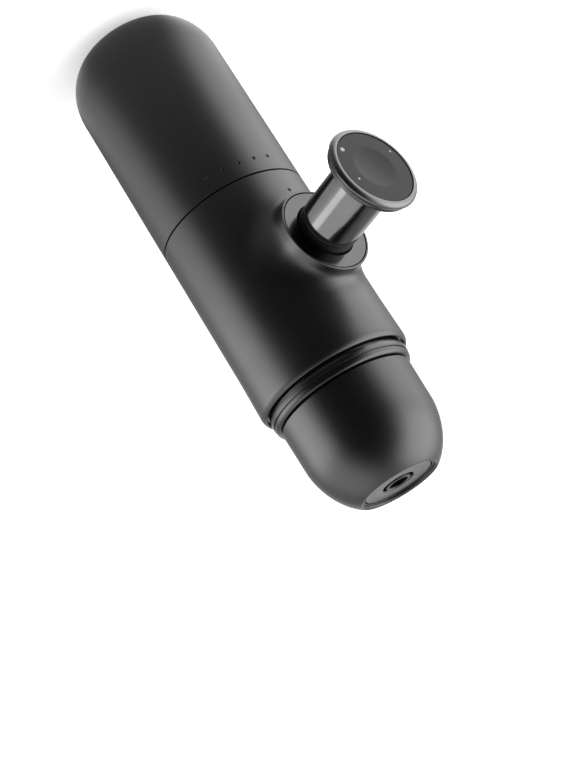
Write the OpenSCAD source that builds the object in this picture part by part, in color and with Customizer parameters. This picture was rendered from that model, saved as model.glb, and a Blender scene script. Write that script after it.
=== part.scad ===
// Handheld manual espresso maker, in millimetres.
// It stands upright on the flat end of its water tank, and its outlet points up (+Z).
// The pump's piston lies along Y and its knob is on the -Y side. Lengths along the piston's
// axis are given as "out", the distance from the body's centre line towards the knob.

/* [Body] */
// Outer radius of the water tank and the main housing
body_r = 30; // [29.5:0.25:32]
// Wall thickness of the tank and the main housing
wall = 2.2; // [2:0.1:2.4]
// Height of the water tank, from its flat end to the seam
tank_len = 87; // [80:1:120]
// Height of the main housing, from the seam to its lip
housing_len = 76.3; // [75:0.1:80]
// Extra radius of the main housing at its lip
flare = 0.3; // [0:0.1:0.8]
// Height of the dark line between tank and housing
seam_gap = 0.3; // [0.2:0.1:0.8]

/* [Water tank] */
// How far the rounded end comes in from the side
base_round_r = 14.8; // [8:0.2:16]
// Height of the rounded end
base_round_h = 19.7; // [10:0.1:24]
// Thickness of the tank's floor
floor_t = 2.6; // [2:0.1:4]
// Number of index dots on the tank
dot_count = 5; // [3:1:7]
// Angle between two index dots, in degrees
dot_step = 12.6; // [8:0.2:15]
// Radius of an index dot
dot_r = 0.65; // [0.4:0.05:1]
// Distance of the index dots from the seam
dot_drop = 6.5; // [4:0.5:12]

/* [Bayonets] */
// Wall thickness of the chassis skirt and the brew chamber
chassis_wall = 2.6; // [2.4:0.1:2.8]
// Wall thickness of the tank's neck
neck_wall = 2; // [1.6:0.1:2.4]
// Length of the tank's neck above the seam
neck_len = 9.5; // [9:0.25:11]
// Height of a bayonet lug
lug_h = 2.5; // [2:0.1:3]
// Radial reach of a bayonet lug beyond the socket's inner wall
lug_reach = 0.9; // [0.6:0.05:1.1]
// Width of a bayonet lug, in degrees
lug_w = 22; // [14:1:26]
// Turn that unlocks the tank or the outlet head, in degrees
unlock_turn = 50; // [40:1:60]

/* [Boss and piston] */
// Height of the piston's axis above the seam
piston_rise = 32.8; // [32:0.2:36]
// How far the boss's face stands out from the housing
boss_rise = 5.7; // [5:0.1:8]
// Outer radius of the boss
boss_r = 17.5; // [17.2:0.1:19]
// Thickness of the boss's rim
boss_rim = 0.5; // [0.4:0.05:0.8]
// How far the blend climbs the boss
blend_up = 4.2; // [3:0.1:5]
// How far the blend reaches over the housing
blend_over = 7; // [4:0.25:7.5]
// Thickness of the metal bezel
bezel_t = 1.2; // [0.8:0.1:2]
// Outer radius of the chrome sleeve
sleeve_r = 11.2; // [11:0.05:11.3]
// Wall thickness of the chrome sleeve
sleeve_wall = 0.9; // [0.7:0.05:1]
// Length of the black foot that shows below the chrome sleeve
foot_show = 5.3; // [3:0.1:8]
// Full stroke of the piston
stroke = 29.4; // [20:0.1:29.4]
// Inner radius of the pump cylinder
bore_r = 7; // [6.8:0.05:7.2]
// Wall thickness of the pump cylinder
liner_wall = 2.2; // [1.6:0.1:2.3]
// Length of the piston head
head_len = 6; // [5.5:0.1:6]
// Radius of the piston rod
rod_r = 5; // [4.6:0.1:5.2]
// Number of turns of the return spring
spring_turns = 8; // [6:1:8]
// Wire diameter of the return spring
wire_d = 1.2; // [0.8:0.1:1.2]

/* [Knob] */
// Outer radius of the knob
knob_r = 17.1; // [16.5:0.1:18]
// Thickness of the knob
knob_t = 4.7; // [4.6:0.1:6]
// Radius of the knob's face disc
knob_face_r = 15.15; // [14.6:0.05:15.3]
// Radius of the thumb dish in the knob's face
dish_r = 8.8; // [7:0.1:10]
// Depth of the thumb dish
dish_depth = 0.6; // [0.3:0.05:0.8]

/* [Brewing] */
// How far the collar, which a cup or cap slides over, stands in from the housing
collar_step = 1.7; // [1.6:0.05:1.9]
// Height of the collar
cup_seat_h = 2.3; // [2:0.1:2.6]
// Distance of the filter basket's cup from the wall of its socket
basket_inset = 3.5; // [3.4:0.1:4.1]
// Sheet thickness of the filter basket
basket_t = 0.8; // [0.6:0.1:1]
// Depth of the filter basket below its flange
basket_depth = 15.6; // [12:0.2:15.8]
// Radius of a hole in the screens
screen_hole_r = 0.7; // [0.4:0.05:0.9]

/* [Outlet head] */
// How far the outlet head's lower edge stands in from the housing
head_step = 3.4; // [3:0.1:3.6]
// Height of the outlet head, from its lower edge to its rim
head_h = 37.8; // [36:0.2:44]
// Outer radius of the rim round the outlet
rim_r = 15.8; // [15:0.1:17]
// Width of the rim's inner slope
rim_w = 1.1; // [0.5:0.05:1.2]
// Depth of the step inside the rim
rim_step = 1.1; // [0.9:0.05:1.2]
// Radius of the face plate
plate_r = 13.6; // [12.5:0.1:13.7]
// Depth of the face plate below the rim
plate_sink = 1.3; // [1.2:0.1:2]
// Outer radius of the spout
spout_r = 5.1; // [4.8:0.05:5.6]
// Radius of the spout's hole
spout_hole_r = 3.7; // [3.2:0.05:4]

/* [Hidden] */
$fn = 64;
eps = 0.01;
fit = 0.3;            // radial gap between a fixed part and what it slides into
play = 0.4;           // radial gap round what moves or is put in by hand
slip = 0.1;           // gap of a face that turns or seats against another
run = 0.05;           // radial clearance of a running or screwed fit
arc_step = 5;         // degrees between points of a rounded outline

// Heights, from the tank's flat end
seam_z = tank_len;
tank_top_z = seam_z - seam_gap / 2;
housing_z = seam_z + seam_gap / 2;
lip_z = seam_z + housing_len;
neck_z = seam_z + neck_len;
piston_z = seam_z + piston_rise;

// Radii that follow from the body
housing_in_r = body_r - wall;
lip_r = body_r + flare;
chassis_r = housing_in_r - fit;
socket_r = chassis_r - chassis_wall;
neck_r = socket_r - fit;
neck_in_r = neck_r - neck_wall;
lug_r = socket_r + lug_reach;
track_r = lug_r + fit;
entry_r = track_r + 0.05;
mouth_r = track_r + 0.1;
lug_gap = 1.5;        // degrees of play beside a lug in its groove
entry_gap = 1.3;      // and in the way in to the groove
lug_count = 3;
lug_root = 1;         // how deep a lug is rooted in its neck

// Pump block
flange_t = 1.4;
flange_inset = 1.6;
flange_sink = 0.35;   // depth of the flange inside the housing's edge
flange_r = body_r - flange_inset;
flange_seat_r = flange_r + fit;
flange_z = housing_z + flange_sink;
gasket_t = 2.3;
roof_z = neck_z + gasket_t + 2 * slip;
roof_t = 3;
roof_top_z = roof_z + roof_t;
tank_lug_rise = 5;
tank_lug_z = seam_z + tank_lug_rise;
track_top_gap = fit;
ledge_h = 2.2;        // height of the arcs that hold the lugs
tube_r = 4.2;
tube_bore_r = 2.2;
valve_seat_r = 3;
inlet_seat_rise = 2.5;
inlet_seat_z = roof_top_z + inlet_seat_rise;
outlet_seat_drop = 6.5;
liner_r = bore_r + liner_wall;
liner_inset = 8.2;    // distance of the cylinder's end from the housing's inner wall
liner_half = housing_in_r - liner_inset;
liner_gasket_t = 1;
port_r = 1.3;         // of the two ports in the cylinder's wall
port_inset = 1.7;
port_out = -(liner_half - port_inset);   // on the far side of the centre line
block_wall = 3.3;
block_back_t = 2.4;
block_r = liner_r + block_wall;
block_end_out = -(liner_half + liner_gasket_t + block_back_t);
block_mouth_out = -9.3;
screw_y = 12;
screw_r = 1.5;
screw_head_r = 2.75;
screw_head_h = 1.9;
screw_len = 11;
screw_seat = 2;        // depth of a screw's head in the roof
post_r = 3.2;
rib_x = 7;
rib_t = 2;
rooted = 1;           // how deep a post, tube or rib is rooted in what carries it
valve_t = 0.8;
umbrella_r = 4;
air_inset = 1.6;
air_y = -(neck_in_r - umbrella_r - air_inset);
air_slot_x = 2.3;
air_slot_r = 0.6;
stem_r = 0.8;
bulb_r = 1.3;         // of the bulb that holds a valve's stem
bulb_h = 0.9;
valve_stem_len = 2.5;
seat_depth = 3;       // of the inlet valve's seat

// Piston guide
boss_out = body_r + boss_rise;
bezel_r = boss_r - boss_rim - fit;
recess_r = boss_r - boss_rim;
recess_depth = 3.2;
guide_flange_out = boss_out - slip - bezel_t;
guide_seat_out = boss_out - recess_depth;
guide_wall = 2.6;
guide_fit = 0.2;
lug_way = 1.5;        // width of the way for the skirt's lugs, beside the sleeve
block_gap = 0.8;
guide_r = sleeve_r + guide_wall;
boss_bore_r = guide_r + guide_fit;
screw_x = boss_bore_r + post_r;   // the posts pass beside the guide
guide_bush_r = sleeve_r + fit;
guide_bore_r = sleeve_r + lug_way;
guide_end_out = block_mouth_out + block_gap;
skirt_step = 0.2;
skirt_r = sleeve_r - skirt_step;
skirt_in_r = liner_r + play;
skirt_end_inset = 13.7;   // depth of the skirt's end inside the boss's face
skirt_end_out = boss_out - skirt_end_inset;
skirt_root = 6;       // length of the skirt inside the sleeve
skirt_lug_h = 2.5;
skirt_lug_root = 0.3;
skirt_lug_r = guide_bore_r - play;
skirt_lug_w = 30;     // degrees
guide_stop_out = skirt_end_out + skirt_lug_h + fit;
lock_out = skirt_end_out - stroke + skirt_lug_h + fit;
lock_h = 2.2;
wiper_inset = 4.7;
wiper_out = boss_out - wiper_inset;
wiper_t = 3.2;
wiper_r = guide_bore_r - play;
foot_out = boss_out + foot_show;
sleeve_in_r = sleeve_r - sleeve_wall;

// Piston and knob; "out" of each face
knob_out = boss_out + fit + stroke + knob_t;
knob_back_out = knob_out - knob_t;
hub_len = 2.7;
band_h = 1.8;         // height of the knob's lower band
band_inset = 0.4;
band_edge = 0.6;
face_t = 1.4;
face_sink = 0.3;
knob_hub_out = knob_back_out - hub_len;
knob_ring_out = knob_back_out + band_h;
knob_face_out = knob_out - face_sink;
knob_seat_out = knob_face_out - face_t;
knob_gap = 0.25;
ring_in_r = knob_face_r + knob_gap;
ring_edge = 0.3;
ring_round = 0.8;
band_r = knob_r - band_inset;
piston_end_gap = 3.2; // left in front of the pressed piston
piston_front_out = -(liner_half - piston_end_gap - stroke);
piston_back_out = piston_front_out + head_len;
piston_r = bore_r - run;
tenon_r = 2.5;
tenon_len = 4.8;
seal_wire_r = 0.7;
groove_w = 1.8;
groove_start = 0.8;
groove_pitch = 2.6;
washer_t = 1;
washer_out = knob_hub_out - slip - washer_t;
spring_r = bore_r + wire_d / 2;
spring_start_out = liner_half + slip;
spring_end_out = washer_out - slip;
spring_rings = 12;    // rings in a turn
spring_sides = 6;
rod_end_out = knob_back_out - play;
knob_screw_len = 8.5;
knob_screw_seat = 1.8;
knob_screw_head_h = 1.6;

// Brew chamber
cup_seat_r = body_r - collar_step;
chamber_rise = 25.8;
chamber_floor_t = 4.2;
transfer_gap = 0.9;
chamber_z = piston_z + chamber_rise;
chamber_floor_z = chamber_z + chamber_floor_t;
top_tube_z = chamber_z - transfer_gap;
shoulder_step = 0.35;
shoulder_drop = 2.5;
shoulder_sink = 0.4;   // of the shoulder's top inside the lip
lip_gap = 1;          // height of the dark gap between the lip and the collar
lip_gap_depth = 0.7;
lip_fit = 0.15;
shoulder_r = cup_seat_r + shoulder_step;
shoulder_z = lip_z - shoulder_drop;
lip_seat_r = shoulder_r + lip_fit;
collar_z = lip_z + lip_gap;
collar_top_z = collar_z + cup_seat_h;
collar_groove = 0.4;  // height of the groove between the collar's two bands
collar_groove_depth = 0.5;
band_step = 0.25;
collar_len = 6;
collar_taper = 1.7;
band_b_z = collar_top_z + collar_groove;
band_b_r = cup_seat_r - band_step;
ring_top_z = lip_z + collar_len;
ring_top_r = cup_seat_r - collar_taper;
screen_t = 0.6;
basket_r = socket_r - basket_inset;
screen_inset = 0.2;
screen_rest = 0.9;    // width of the edge that the shower screen rests on
screen_edge = 4.4;    // distance of the outer holes from a screen's edge
screen_r = basket_r - screen_inset;
spread_r = screen_r - screen_rest;
spread_post_r = 3;
shower_screw_gap = 1.2;   // left below the shower screw
brew_gasket_t = 1.3;
basket_z = chamber_floor_z + brew_gasket_t + slip;
basket_flange_r = socket_r - 2 * fit;
flange_sheet = 1.2;
basket_end_z = basket_z + flange_sheet + basket_depth;
basket_lip = 2;
basket_screen_t = 0.5;

// Outlet head
head_gasket_t = 1.2;
head_neck_z = basket_z + flange_sheet + head_gasket_t + 2 * slip;
head_r = body_r - head_step;
head_neck_r = socket_r - play;
basket_play = 0.8;
head_bore_r = basket_r + basket_play;
head_lug_rise = 8.2;
head_gap = 0.5;
head_side_h = 16.2;
head_edge = 0.3;
head_lug_z = chamber_floor_z + head_lug_rise;
head_z = ring_top_z + head_gap;
head_top_z = head_z + head_h;
dome_z = head_z + head_side_h;
dome_reach = 5;
dome_step = 0.3;
dome_in_r = rim_r - dome_reach;
dome_out_r = head_r - dome_step;
rim_slope = 0.7;      // height of the rim's inner slope
spout_rise = 0.2;     // height of the spout above the face plate
dome_power = 1.13;
funnel_t = 1.2;
funnel_seal_t = 1.9;
funnel_seal_w = 1.5;
funnel_rim_w = 2;
ledge_w = 1.3;
ledge_z = basket_end_z + 2 * slip + funnel_seal_t + funnel_t;
ledge_r = head_bore_r - ledge_w;
plate_t = 1.2;
plate_fit = 0.25;
plate_rest = 1.4;     // width of the edge that the face plate rests on
plate_gap = 1.1;      // width of the groove round the spout
plate_z = head_top_z - plate_sink - plate_t;
plate_hole_r = spout_r + plate_gap;
spout_top_z = plate_z + plate_t + spout_rise;
spout_len = 4;        // of the spout below the face plate
spout_edge = 0.4;
funnel_neck_z = plate_z - spout_len;
funnel_wall = 0.5;

// Colours as the photograph shows them
shell_black = [0.11, 0.11, 0.115];
inner_black = [0.07, 0.07, 0.075];
inner_grey = [0.32, 0.33, 0.34];
rubber = [0.14, 0.14, 0.15];
silicone = [0.72, 0.73, 0.72];
steel = [0.7, 0.71, 0.72];
chrome = [0.82, 0.83, 0.85];
dark_metal = [0.4, 0.41, 0.42];

// ---------- helpers ----------

// Ring about Z between two radii and two heights
module ring(r_in, r_out, z0, z1) {
    rotate_extrude()
        translate([r_in, z0]) square([r_out - r_in, z1 - z0]);
}

// Part of a ring, from one angle to another
module ring_arc(r_in, r_out, z0, z1, from, to) {
    rotate([0, 0, from])
        rotate_extrude(angle = to - from)
            translate([r_in, z0]) square([r_out - r_in, z1 - z0]);
}

// Equal arcs round a ring; each is wider than a lug by play on both sides
module arcs(count, r_in, r_out, z0, z1, from, to, play = 0) {
    for (i = [0 : count - 1])
        ring_arc(r_in, r_out, z0, z1, i * 360 / count + from - play, i * 360 / count + to + play);
}

// Turns a shape made about Z so that its +Z points out of the boss, at the piston's height
module outward() {
    translate([0, 0, piston_z]) rotate([90, 0, 0]) children();
}

// Round holes in rings of six, twelve and more, with one in the middle
module screen_holes(rings, pitch, z0, z1) {
    for (k = [0 : rings])
        for (i = [0 : max(1, 6 * k) - 1])
            rotate([0, 0, i * 60 / max(1, k)])
                translate([k * pitch, 0, z0 - eps])
                    cylinder(r = screen_hole_r, h = z1 - z0 + 2 * eps, $fn = 24);
}

// Small blind dot in a round wall
module dot(angle, z) {
    rotate([0, 0, angle]) translate([body_r - dot_r * 0.7, 0, z]) rotate([0, 90, 0])
        cylinder(r = dot_r, h = wall, $fn = 24);
}

// ---------- water tank ----------

dot_start = -93;

module water_tank() {
    inner_h = base_round_h - floor_t;
    color(shell_black) difference() {
        union() {
            rotate_extrude() polygon(concat(
                [[0, 0]],
                [for (a = [90 : -arc_step : 0])
                    [body_r - base_round_r * (1 - cos(a)), base_round_h * (1 - sin(a))]],
                [[body_r, tank_top_z - seam_edge], [body_r - seam_edge, tank_top_z],
                 [neck_r, tank_top_z], [neck_r, neck_z], [neck_in_r, neck_z],
                 [neck_in_r, tank_top_z - wall],
                 [housing_in_r, tank_top_z - wall - (housing_in_r - neck_in_r)]],
                [for (a = [0 : arc_step : 90])
                    [housing_in_r - (base_round_r - wall) * (1 - cos(a)),
                     base_round_h - inner_h * sin(a)]],
                [[0, floor_t]]
            ));
            arcs(lug_count, neck_r - lug_root, lug_r, tank_lug_z, tank_lug_z + lug_h, 0, lug_w);
        }
        for (i = [0 : dot_count - 1])
            dot(dot_start + i * dot_step, seam_z - dot_drop);
    }
}

module tank_gasket() {
    color(rubber) ring(neck_in_r + slip, neck_r, neck_z + slip, neck_z + gasket_t);
}

// ---------- main housing ----------

// Distance of the housing's surface from its centre plane, at a distance from the boss's axis
function skin(x) = sqrt(pow(body_r, 2) - pow(x, 2));

// Section of the blend at one angle round the boss: a curve that leaves the boss's wall and
// meets the housing's skin along its tangent, and a line back inside the material
blend_steps = 7;
blend_turns = 60;
blend_sink = 0.5;      // depth of the blend's root in the material
blend_dip = 0.1;       // how far its two ends dip below the surfaces that they join
function bezier(a, b, c, t) = (1 - t) * (1 - t) * a + 2 * t * (1 - t) * b + t * t * c;
function blend_point(angle, r, out) = [r * cos(angle), -out, r * sin(angle)];
function blend_section(angle) =
    let (
        foot = skin(boss_r * cos(angle)),
        edge_r = boss_r + blend_over,
        edge = skin(edge_r * cos(angle)),
        knee = edge + blend_over * edge_r * pow(cos(angle), 2) / edge,
        top = knee + min(blend_up + 0.35 * (body_r - knee), boss_out - knee - 1.2),
        a = blend_point(angle, boss_r - blend_dip, top),
        b = blend_point(angle, boss_r - blend_dip, knee - blend_dip),
        c = blend_point(angle, edge_r, edge - blend_dip)
    )
    concat(
        [blend_point(angle, boss_r - blend_sink, top)],
        [for (i = [0 : blend_steps]) bezier(a, b, c, i / blend_steps)],
        [blend_point(angle, edge_r, edge - blend_sink),
         blend_point(angle, boss_r - blend_sink, foot - blend_sink)]
    );

module boss_blend() {
    n = blend_steps + 4;
    points = [for (k = [0 : blend_turns - 1]) each blend_section((k + 0.5) * 360 / blend_turns)];
    faces = [for (k = [0 : blend_turns - 1]) for (i = [0 : n - 1])
        let (
            p = k * n + i,
            q = k * n + (i + 1) % n,
            s = ((k + 1) % blend_turns) * n + (i + 1) % n,
            t = ((k + 1) % blend_turns) * n + i
        ) each [[p, s, q], [p, t, s]]];
    translate([0, 0, piston_z]) polyhedron(points = points, faces = faces, convexity = 6);
}

lip_round_r = 2.6;
lip_round_h = 5.4;
lip_drop = 4.6;        // height of the lip's rounded edge
seam_edge = 0.2;
boss_edge = 0.35;

module main_housing() {
    lip_start_z = lip_z - lip_drop;
    lip_end = asin(lip_drop / lip_round_h);
    flare_z = piston_z + boss_r + blend_over;
    color(shell_black) difference() {
        union() {
            rotate_extrude() polygon(concat(
                [[housing_in_r, housing_z], [body_r - seam_edge, housing_z],
                 [body_r, housing_z + seam_edge], [body_r, flare_z]],
                [for (i = [0 : 10])
                    [lip_r - lip_round_r * (1 - cos(lip_end * i / 10)),
                     lip_start_z + lip_round_h * sin(lip_end * i / 10)]],
                [[housing_in_r, lip_z]]
            ));
            outward() rotate_extrude() polygon([[0, 0], [boss_r, 0], [boss_r, boss_out - boss_edge],
                [boss_r - boss_edge * 0.3, boss_out - boss_edge * 0.3],
                [boss_r - boss_edge, boss_out], [0, boss_out]]);
            boss_blend();
        }
        cylinder(r = housing_in_r, h = lip_z + 1);
        translate([0, 0, housing_z - 1])
            cylinder(r = flange_seat_r, h = flange_z + flange_t - housing_z + 1);
        translate([0, 0, shoulder_z]) cylinder(r = lip_seat_r, h = lip_z - shoulder_z + 1);
        outward() {
            cylinder(r = boss_bore_r, h = boss_out + 1);
            translate([0, 0, guide_seat_out]) cylinder(r = recess_r, h = recess_depth + 1);
        }
        dot(dot_start, seam_z + 1.5 * dot_drop);
    }
}

// ---------- pump ----------

module screw_places() {
    for (x = [-screw_x, screw_x], y = [-screw_y, screw_y])
        translate([x, y, 0]) children();
}

module pump_block() {
    color(inner_grey) difference() {
        union() {
            rotate_extrude() polygon([[0, roof_z], [socket_r, roof_z], [socket_r, flange_z],
                [flange_r, flange_z], [flange_r, flange_z + flange_t],
                [chassis_r, flange_z + flange_t], [chassis_r, roof_top_z], [0, roof_top_z]]);
            outward() translate([0, 0, block_end_out])
                cylinder(r = block_r, h = block_mouth_out - block_end_out);
            translate([0, -port_out, roof_top_z - rooted])
                cylinder(r = tube_r, h = top_tube_z - roof_top_z + rooted);
            for (x = [-rib_x, rib_x])
                translate([x - rib_t / 2, -block_mouth_out + rooted, roof_top_z - rooted])
                    cube([rib_t, block_mouth_out - block_end_out - 2 * rooted,
                        piston_z - roof_top_z]);
        }
        // Socket for the tank's lugs: a groove with a stop at each end, and the way in
        arcs(lug_count, socket_r - 1, track_r, tank_lug_z - track_top_gap,
            tank_lug_z + lug_h + track_top_gap, -unlock_turn, lug_w, lug_gap);
        arcs(lug_count, socket_r - 1, entry_r, flange_z - 1, tank_lug_z,
            -unlock_turn, lug_w - unlock_turn, entry_gap);
        ring(socket_r - 1, mouth_r, flange_z - 1, tank_lug_z - track_top_gap - ledge_h);
        // Bore for the cylinder
        outward() translate([0, 0, -liner_half - liner_gasket_t])
            cylinder(r = liner_r + run, h = liner_half + liner_gasket_t);
        // Water ways with a valve seat in each
        translate([0, -port_out, roof_z - 1]) cylinder(r = tube_bore_r, h = piston_z - roof_z + 1);
        translate([0, -port_out, roof_z - 1]) cylinder(r = umbrella_r + run, h = 2);
        translate([0, -port_out, inlet_seat_z]) cylinder(r = valve_seat_r, h = seat_depth);
        translate([0, -port_out, piston_z]) cylinder(r = tube_bore_r, h = top_tube_z - piston_z + 1);
        translate([0, -port_out, top_tube_z - outlet_seat_drop])
            cylinder(r = valve_seat_r, h = outlet_seat_drop + 1);
        // Air hole with two slots beside the valve's stem
        translate([0, air_y, roof_z - 1]) cylinder(r = stem_r + slip, h = roof_t + 2);
        for (x = [-air_slot_x, air_slot_x])
            translate([x, air_y, roof_z - 1]) cylinder(r = air_slot_r, h = roof_t + 2);
        screw_places() {
            translate([0, 0, roof_z - 1]) cylinder(r = screw_r + slip, h = roof_t + 2);
            translate([0, 0, roof_z - 1]) cylinder(r = screw_head_r + fit, h = screw_seat + 1);
        }
    }
}

module pump_cylinder() {
    color(steel) difference() {
        outward() ring(bore_r, liner_r, -liner_half, liner_half);
        translate([0, -port_out, piston_z - liner_r - 1]) cylinder(r = port_r, h = 2 * liner_r + 2);
    }
}

module cylinder_gasket() {
    color(rubber) outward()
        ring(bore_r, liner_r, -liner_half - liner_gasket_t, -liner_half);
}

module inlet_filter() {
    color(steel) translate([0, -port_out, 0]) difference() {
        translate([0, 0, roof_z + slip]) cylinder(r = umbrella_r, h = valve_t);
        screen_holes(1, 2.2, roof_z + slip, roof_z + slip + valve_t);
    }
}

// Soft disc valve with a stem below the disc and a bulb on the stem
module disc_valve(disc_r, seat_z, stem_len) {
    color(silicone) union() {
        translate([0, 0, seat_z]) cylinder(r = disc_r, h = valve_t);
        translate([0, 0, seat_z - stem_len]) cylinder(r = stem_r, h = stem_len + eps);
        translate([0, 0, seat_z - stem_len]) cylinder(r = bulb_r, h = bulb_h);
    }
}

module inlet_valve() {
    translate([0, -port_out, 0]) disc_valve(valve_seat_r - fit, inlet_seat_z, valve_stem_len);
}

module outlet_valve() {
    translate([0, -port_out, 0])
        disc_valve(valve_seat_r - fit, top_tube_z - outlet_seat_drop, valve_stem_len);
}

module air_valve() {
    color(silicone) translate([0, air_y, 0]) union() {
        translate([0, 0, roof_z - valve_t]) cylinder(r = umbrella_r, h = valve_t);
        translate([0, 0, roof_z - eps]) cylinder(r = stem_r, h = roof_t + eps);
        translate([0, 0, roof_top_z]) cylinder(r = bulb_r, h = bulb_h);
    }
}

module transfer_seal() {
    color(rubber) translate([0, -port_out, 0]) ring(valve_seat_r + slip, tube_r, top_tube_z, chamber_z);
}

module chassis_screws() {
    color(steel) screw_places() {
        translate([0, 0, roof_z + screw_seat - screw_head_h])
            cylinder(r = screw_head_r, h = screw_head_h);
        translate([0, 0, roof_z + screw_seat - eps]) cylinder(r = screw_r, h = screw_len - screw_seat);
    }
}

// ---------- brewing ----------

module brew_chamber() {
    color(inner_black) difference() {
        union() {
            rotate_extrude() polygon(concat(
                [[socket_r, chamber_floor_z], [0, chamber_floor_z], [0, chamber_z],
                 [chassis_r, chamber_z], [chassis_r, shoulder_z],
                 [shoulder_r, shoulder_z], [shoulder_r, lip_z - shoulder_sink],
                 [cup_seat_r - lip_gap_depth, lip_z - shoulder_sink],
                 [cup_seat_r - lip_gap_depth, collar_z],
                 [cup_seat_r, collar_z], [cup_seat_r, collar_top_z],
                 [cup_seat_r - collar_groove_depth, collar_top_z],
                 [cup_seat_r - collar_groove_depth, band_b_z]],
                [for (u = [0 : 0.2 : 1])
                    [band_b_r - (band_b_r - ring_top_r) * (0.75 * u + 0.25 * u * u),
                     band_b_z + (ring_top_z - band_b_z) * u]],
                [[socket_r, ring_top_z]]
            ));
            screw_places() translate([0, 0, roof_top_z])
                cylinder(r = post_r, h = chamber_z - roof_top_z + rooted);
        }
        // Socket for the outlet head's lugs
        arcs(lug_count, socket_r - 1, track_r, head_lug_z - track_top_gap,
            head_lug_z + lug_h + track_top_gap, 0, lug_w + unlock_turn, lug_gap);
        arcs(lug_count, socket_r - 1, entry_r, head_lug_z, ring_top_z + 1,
            unlock_turn, unlock_turn + lug_w, entry_gap);
        ring(socket_r - 1, mouth_r, head_lug_z + lug_h + track_top_gap + ledge_h, ring_top_z + 1);
        // Recess that spreads the water below the shower screen, and its way in
        difference() {
            union() {
                translate([0, 0, chamber_floor_z - screen_t]) cylinder(r = screen_r + run, h = screen_t + 1);
                translate([0, 0, chamber_floor_z - 2 * screen_t])
                    cylinder(r = spread_r, h = screen_t + 1);
            }
            translate([0, 0, chamber_z])
                cylinder(r = spread_post_r, h = chamber_floor_z - screen_t - chamber_z);
        }
        translate([0, -port_out, chamber_z - 1]) cylinder(r = tube_bore_r, h = chamber_floor_z - chamber_z);
        translate([0, 0, chamber_z + 1]) cylinder(r = screw_r + run, h = chamber_floor_z);
        screw_places() translate([0, 0, roof_top_z - 1])
            cylinder(r = screw_r + run, h = screw_len - roof_t + 2);
    }
}

module brew_gasket() {
    color(silicone) ring(screen_r + play, socket_r - fit,
        chamber_floor_z, chamber_floor_z + brew_gasket_t);
}

module shower_screen() {
    color(steel) difference() {
        translate([0, 0, chamber_floor_z - screen_t]) cylinder(r = screen_r, h = screen_t);
        difference() {
            screen_holes(4, (screen_r - screen_edge) / 4, chamber_floor_z - screen_t, chamber_floor_z);
            cylinder(r = 2 * screw_r, h = chamber_floor_z + 1);
        }
        cylinder(r = screw_r + run, h = chamber_floor_z + 1);
    }
}

module shower_screw() {
    color(steel) union() {
        translate([0, 0, chamber_floor_z]) cylinder(r1 = screw_head_r, r2 = 0.7 * screw_head_r, h = 1.2);
        translate([0, 0, chamber_z + shower_screw_gap])
            cylinder(r = screw_r, h = chamber_floor_z - chamber_z - shower_screw_gap + eps);
    }
}

module filter_basket() {
    color(steel) rotate_extrude() polygon([
        [basket_r - basket_t, basket_z], [basket_flange_r, basket_z],
        [basket_flange_r, basket_z + flange_sheet], [basket_r, basket_z + flange_sheet],
        [basket_r, basket_end_z], [basket_r - basket_lip, basket_end_z],
        [basket_r - basket_lip, basket_end_z - basket_t], [basket_r - basket_t, basket_end_z - basket_t]
    ]);
}

module basket_screen() {
    z0 = basket_end_z - basket_t - basket_screen_t;
    r = basket_r - basket_t - slip;
    color(steel) difference() {
        translate([0, 0, z0]) cylinder(r = r, h = basket_screen_t);
        screen_holes(5, (r - screen_edge) / 5, z0, z0 + basket_screen_t);
    }
}

// ---------- outlet head ----------

module head_gasket() {
    z0 = basket_z + flange_sheet + slip;
    color(rubber) ring(head_bore_r + slip, head_neck_r - slip, z0, z0 + head_gasket_t);
}

// Outer outline of the head, from its lower edge to the rim
rim_turn = acos(pow((rim_r - dome_in_r) / (dome_out_r - dome_in_r), 1 / dome_power));
dome_h = (head_top_z - dome_z) / pow(sin(rim_turn), dome_power);
function dome_point(a) = [
    dome_in_r + (dome_out_r - dome_in_r) * pow(cos(a), dome_power),
    dome_z + dome_h * pow(sin(a), dome_power)
];

module outlet_head() {
    rest_r = plate_r - plate_rest;
    color(shell_black) union() {
        rotate_extrude() polygon(concat(
            [[head_bore_r, head_neck_z], [head_neck_r, head_neck_z], [head_neck_r, head_z],
             [head_r - head_edge, head_z], [head_r, head_z + head_edge]],
            [for (i = [0 : 14]) dome_point(rim_turn * i / 14)],
            [[rim_r - rim_w, head_top_z - rim_slope], [rim_r - rim_w, head_top_z - rim_step],
             [plate_r + plate_fit, head_top_z - rim_step], [plate_r + plate_fit, plate_z],
             [rest_r, plate_z], [rest_r, plate_z - wall]],
            [for (a = [85 : -arc_step : 0])
                [rest_r + (ledge_r - rest_r) * cos(a),
                 dome_z + (plate_z - wall - dome_z) * sin(a)]],
            [[ledge_r, ledge_z], [head_bore_r, ledge_z]]
        ));
        arcs(lug_count, head_neck_r - lug_root, lug_r, head_lug_z, head_lug_z + lug_h, 0, lug_w);
    }
}

module funnel_seal() {
    color(rubber) ring(basket_r - funnel_seal_w, basket_r,
        basket_end_z + slip, basket_end_z + slip + funnel_seal_t);
}

module spout_funnel() {
    z0 = ledge_z - funnel_t;
    color(inner_black) rotate_extrude() polygon([
        [ledge_r - funnel_rim_w, z0], [head_bore_r - fit, z0], [head_bore_r - fit, ledge_z],
        [ledge_r - play, ledge_z], [spout_r, funnel_neck_z], [spout_r, spout_top_z - spout_edge],
        [spout_r - spout_edge, spout_top_z],
        [spout_hole_r, spout_top_z], [spout_hole_r, funnel_neck_z - funnel_wall]
    ]);
}

module face_plate() {
    color(dark_metal) ring(plate_hole_r, plate_r, plate_z, plate_z + plate_t);
}

// ---------- piston guide ----------

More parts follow.
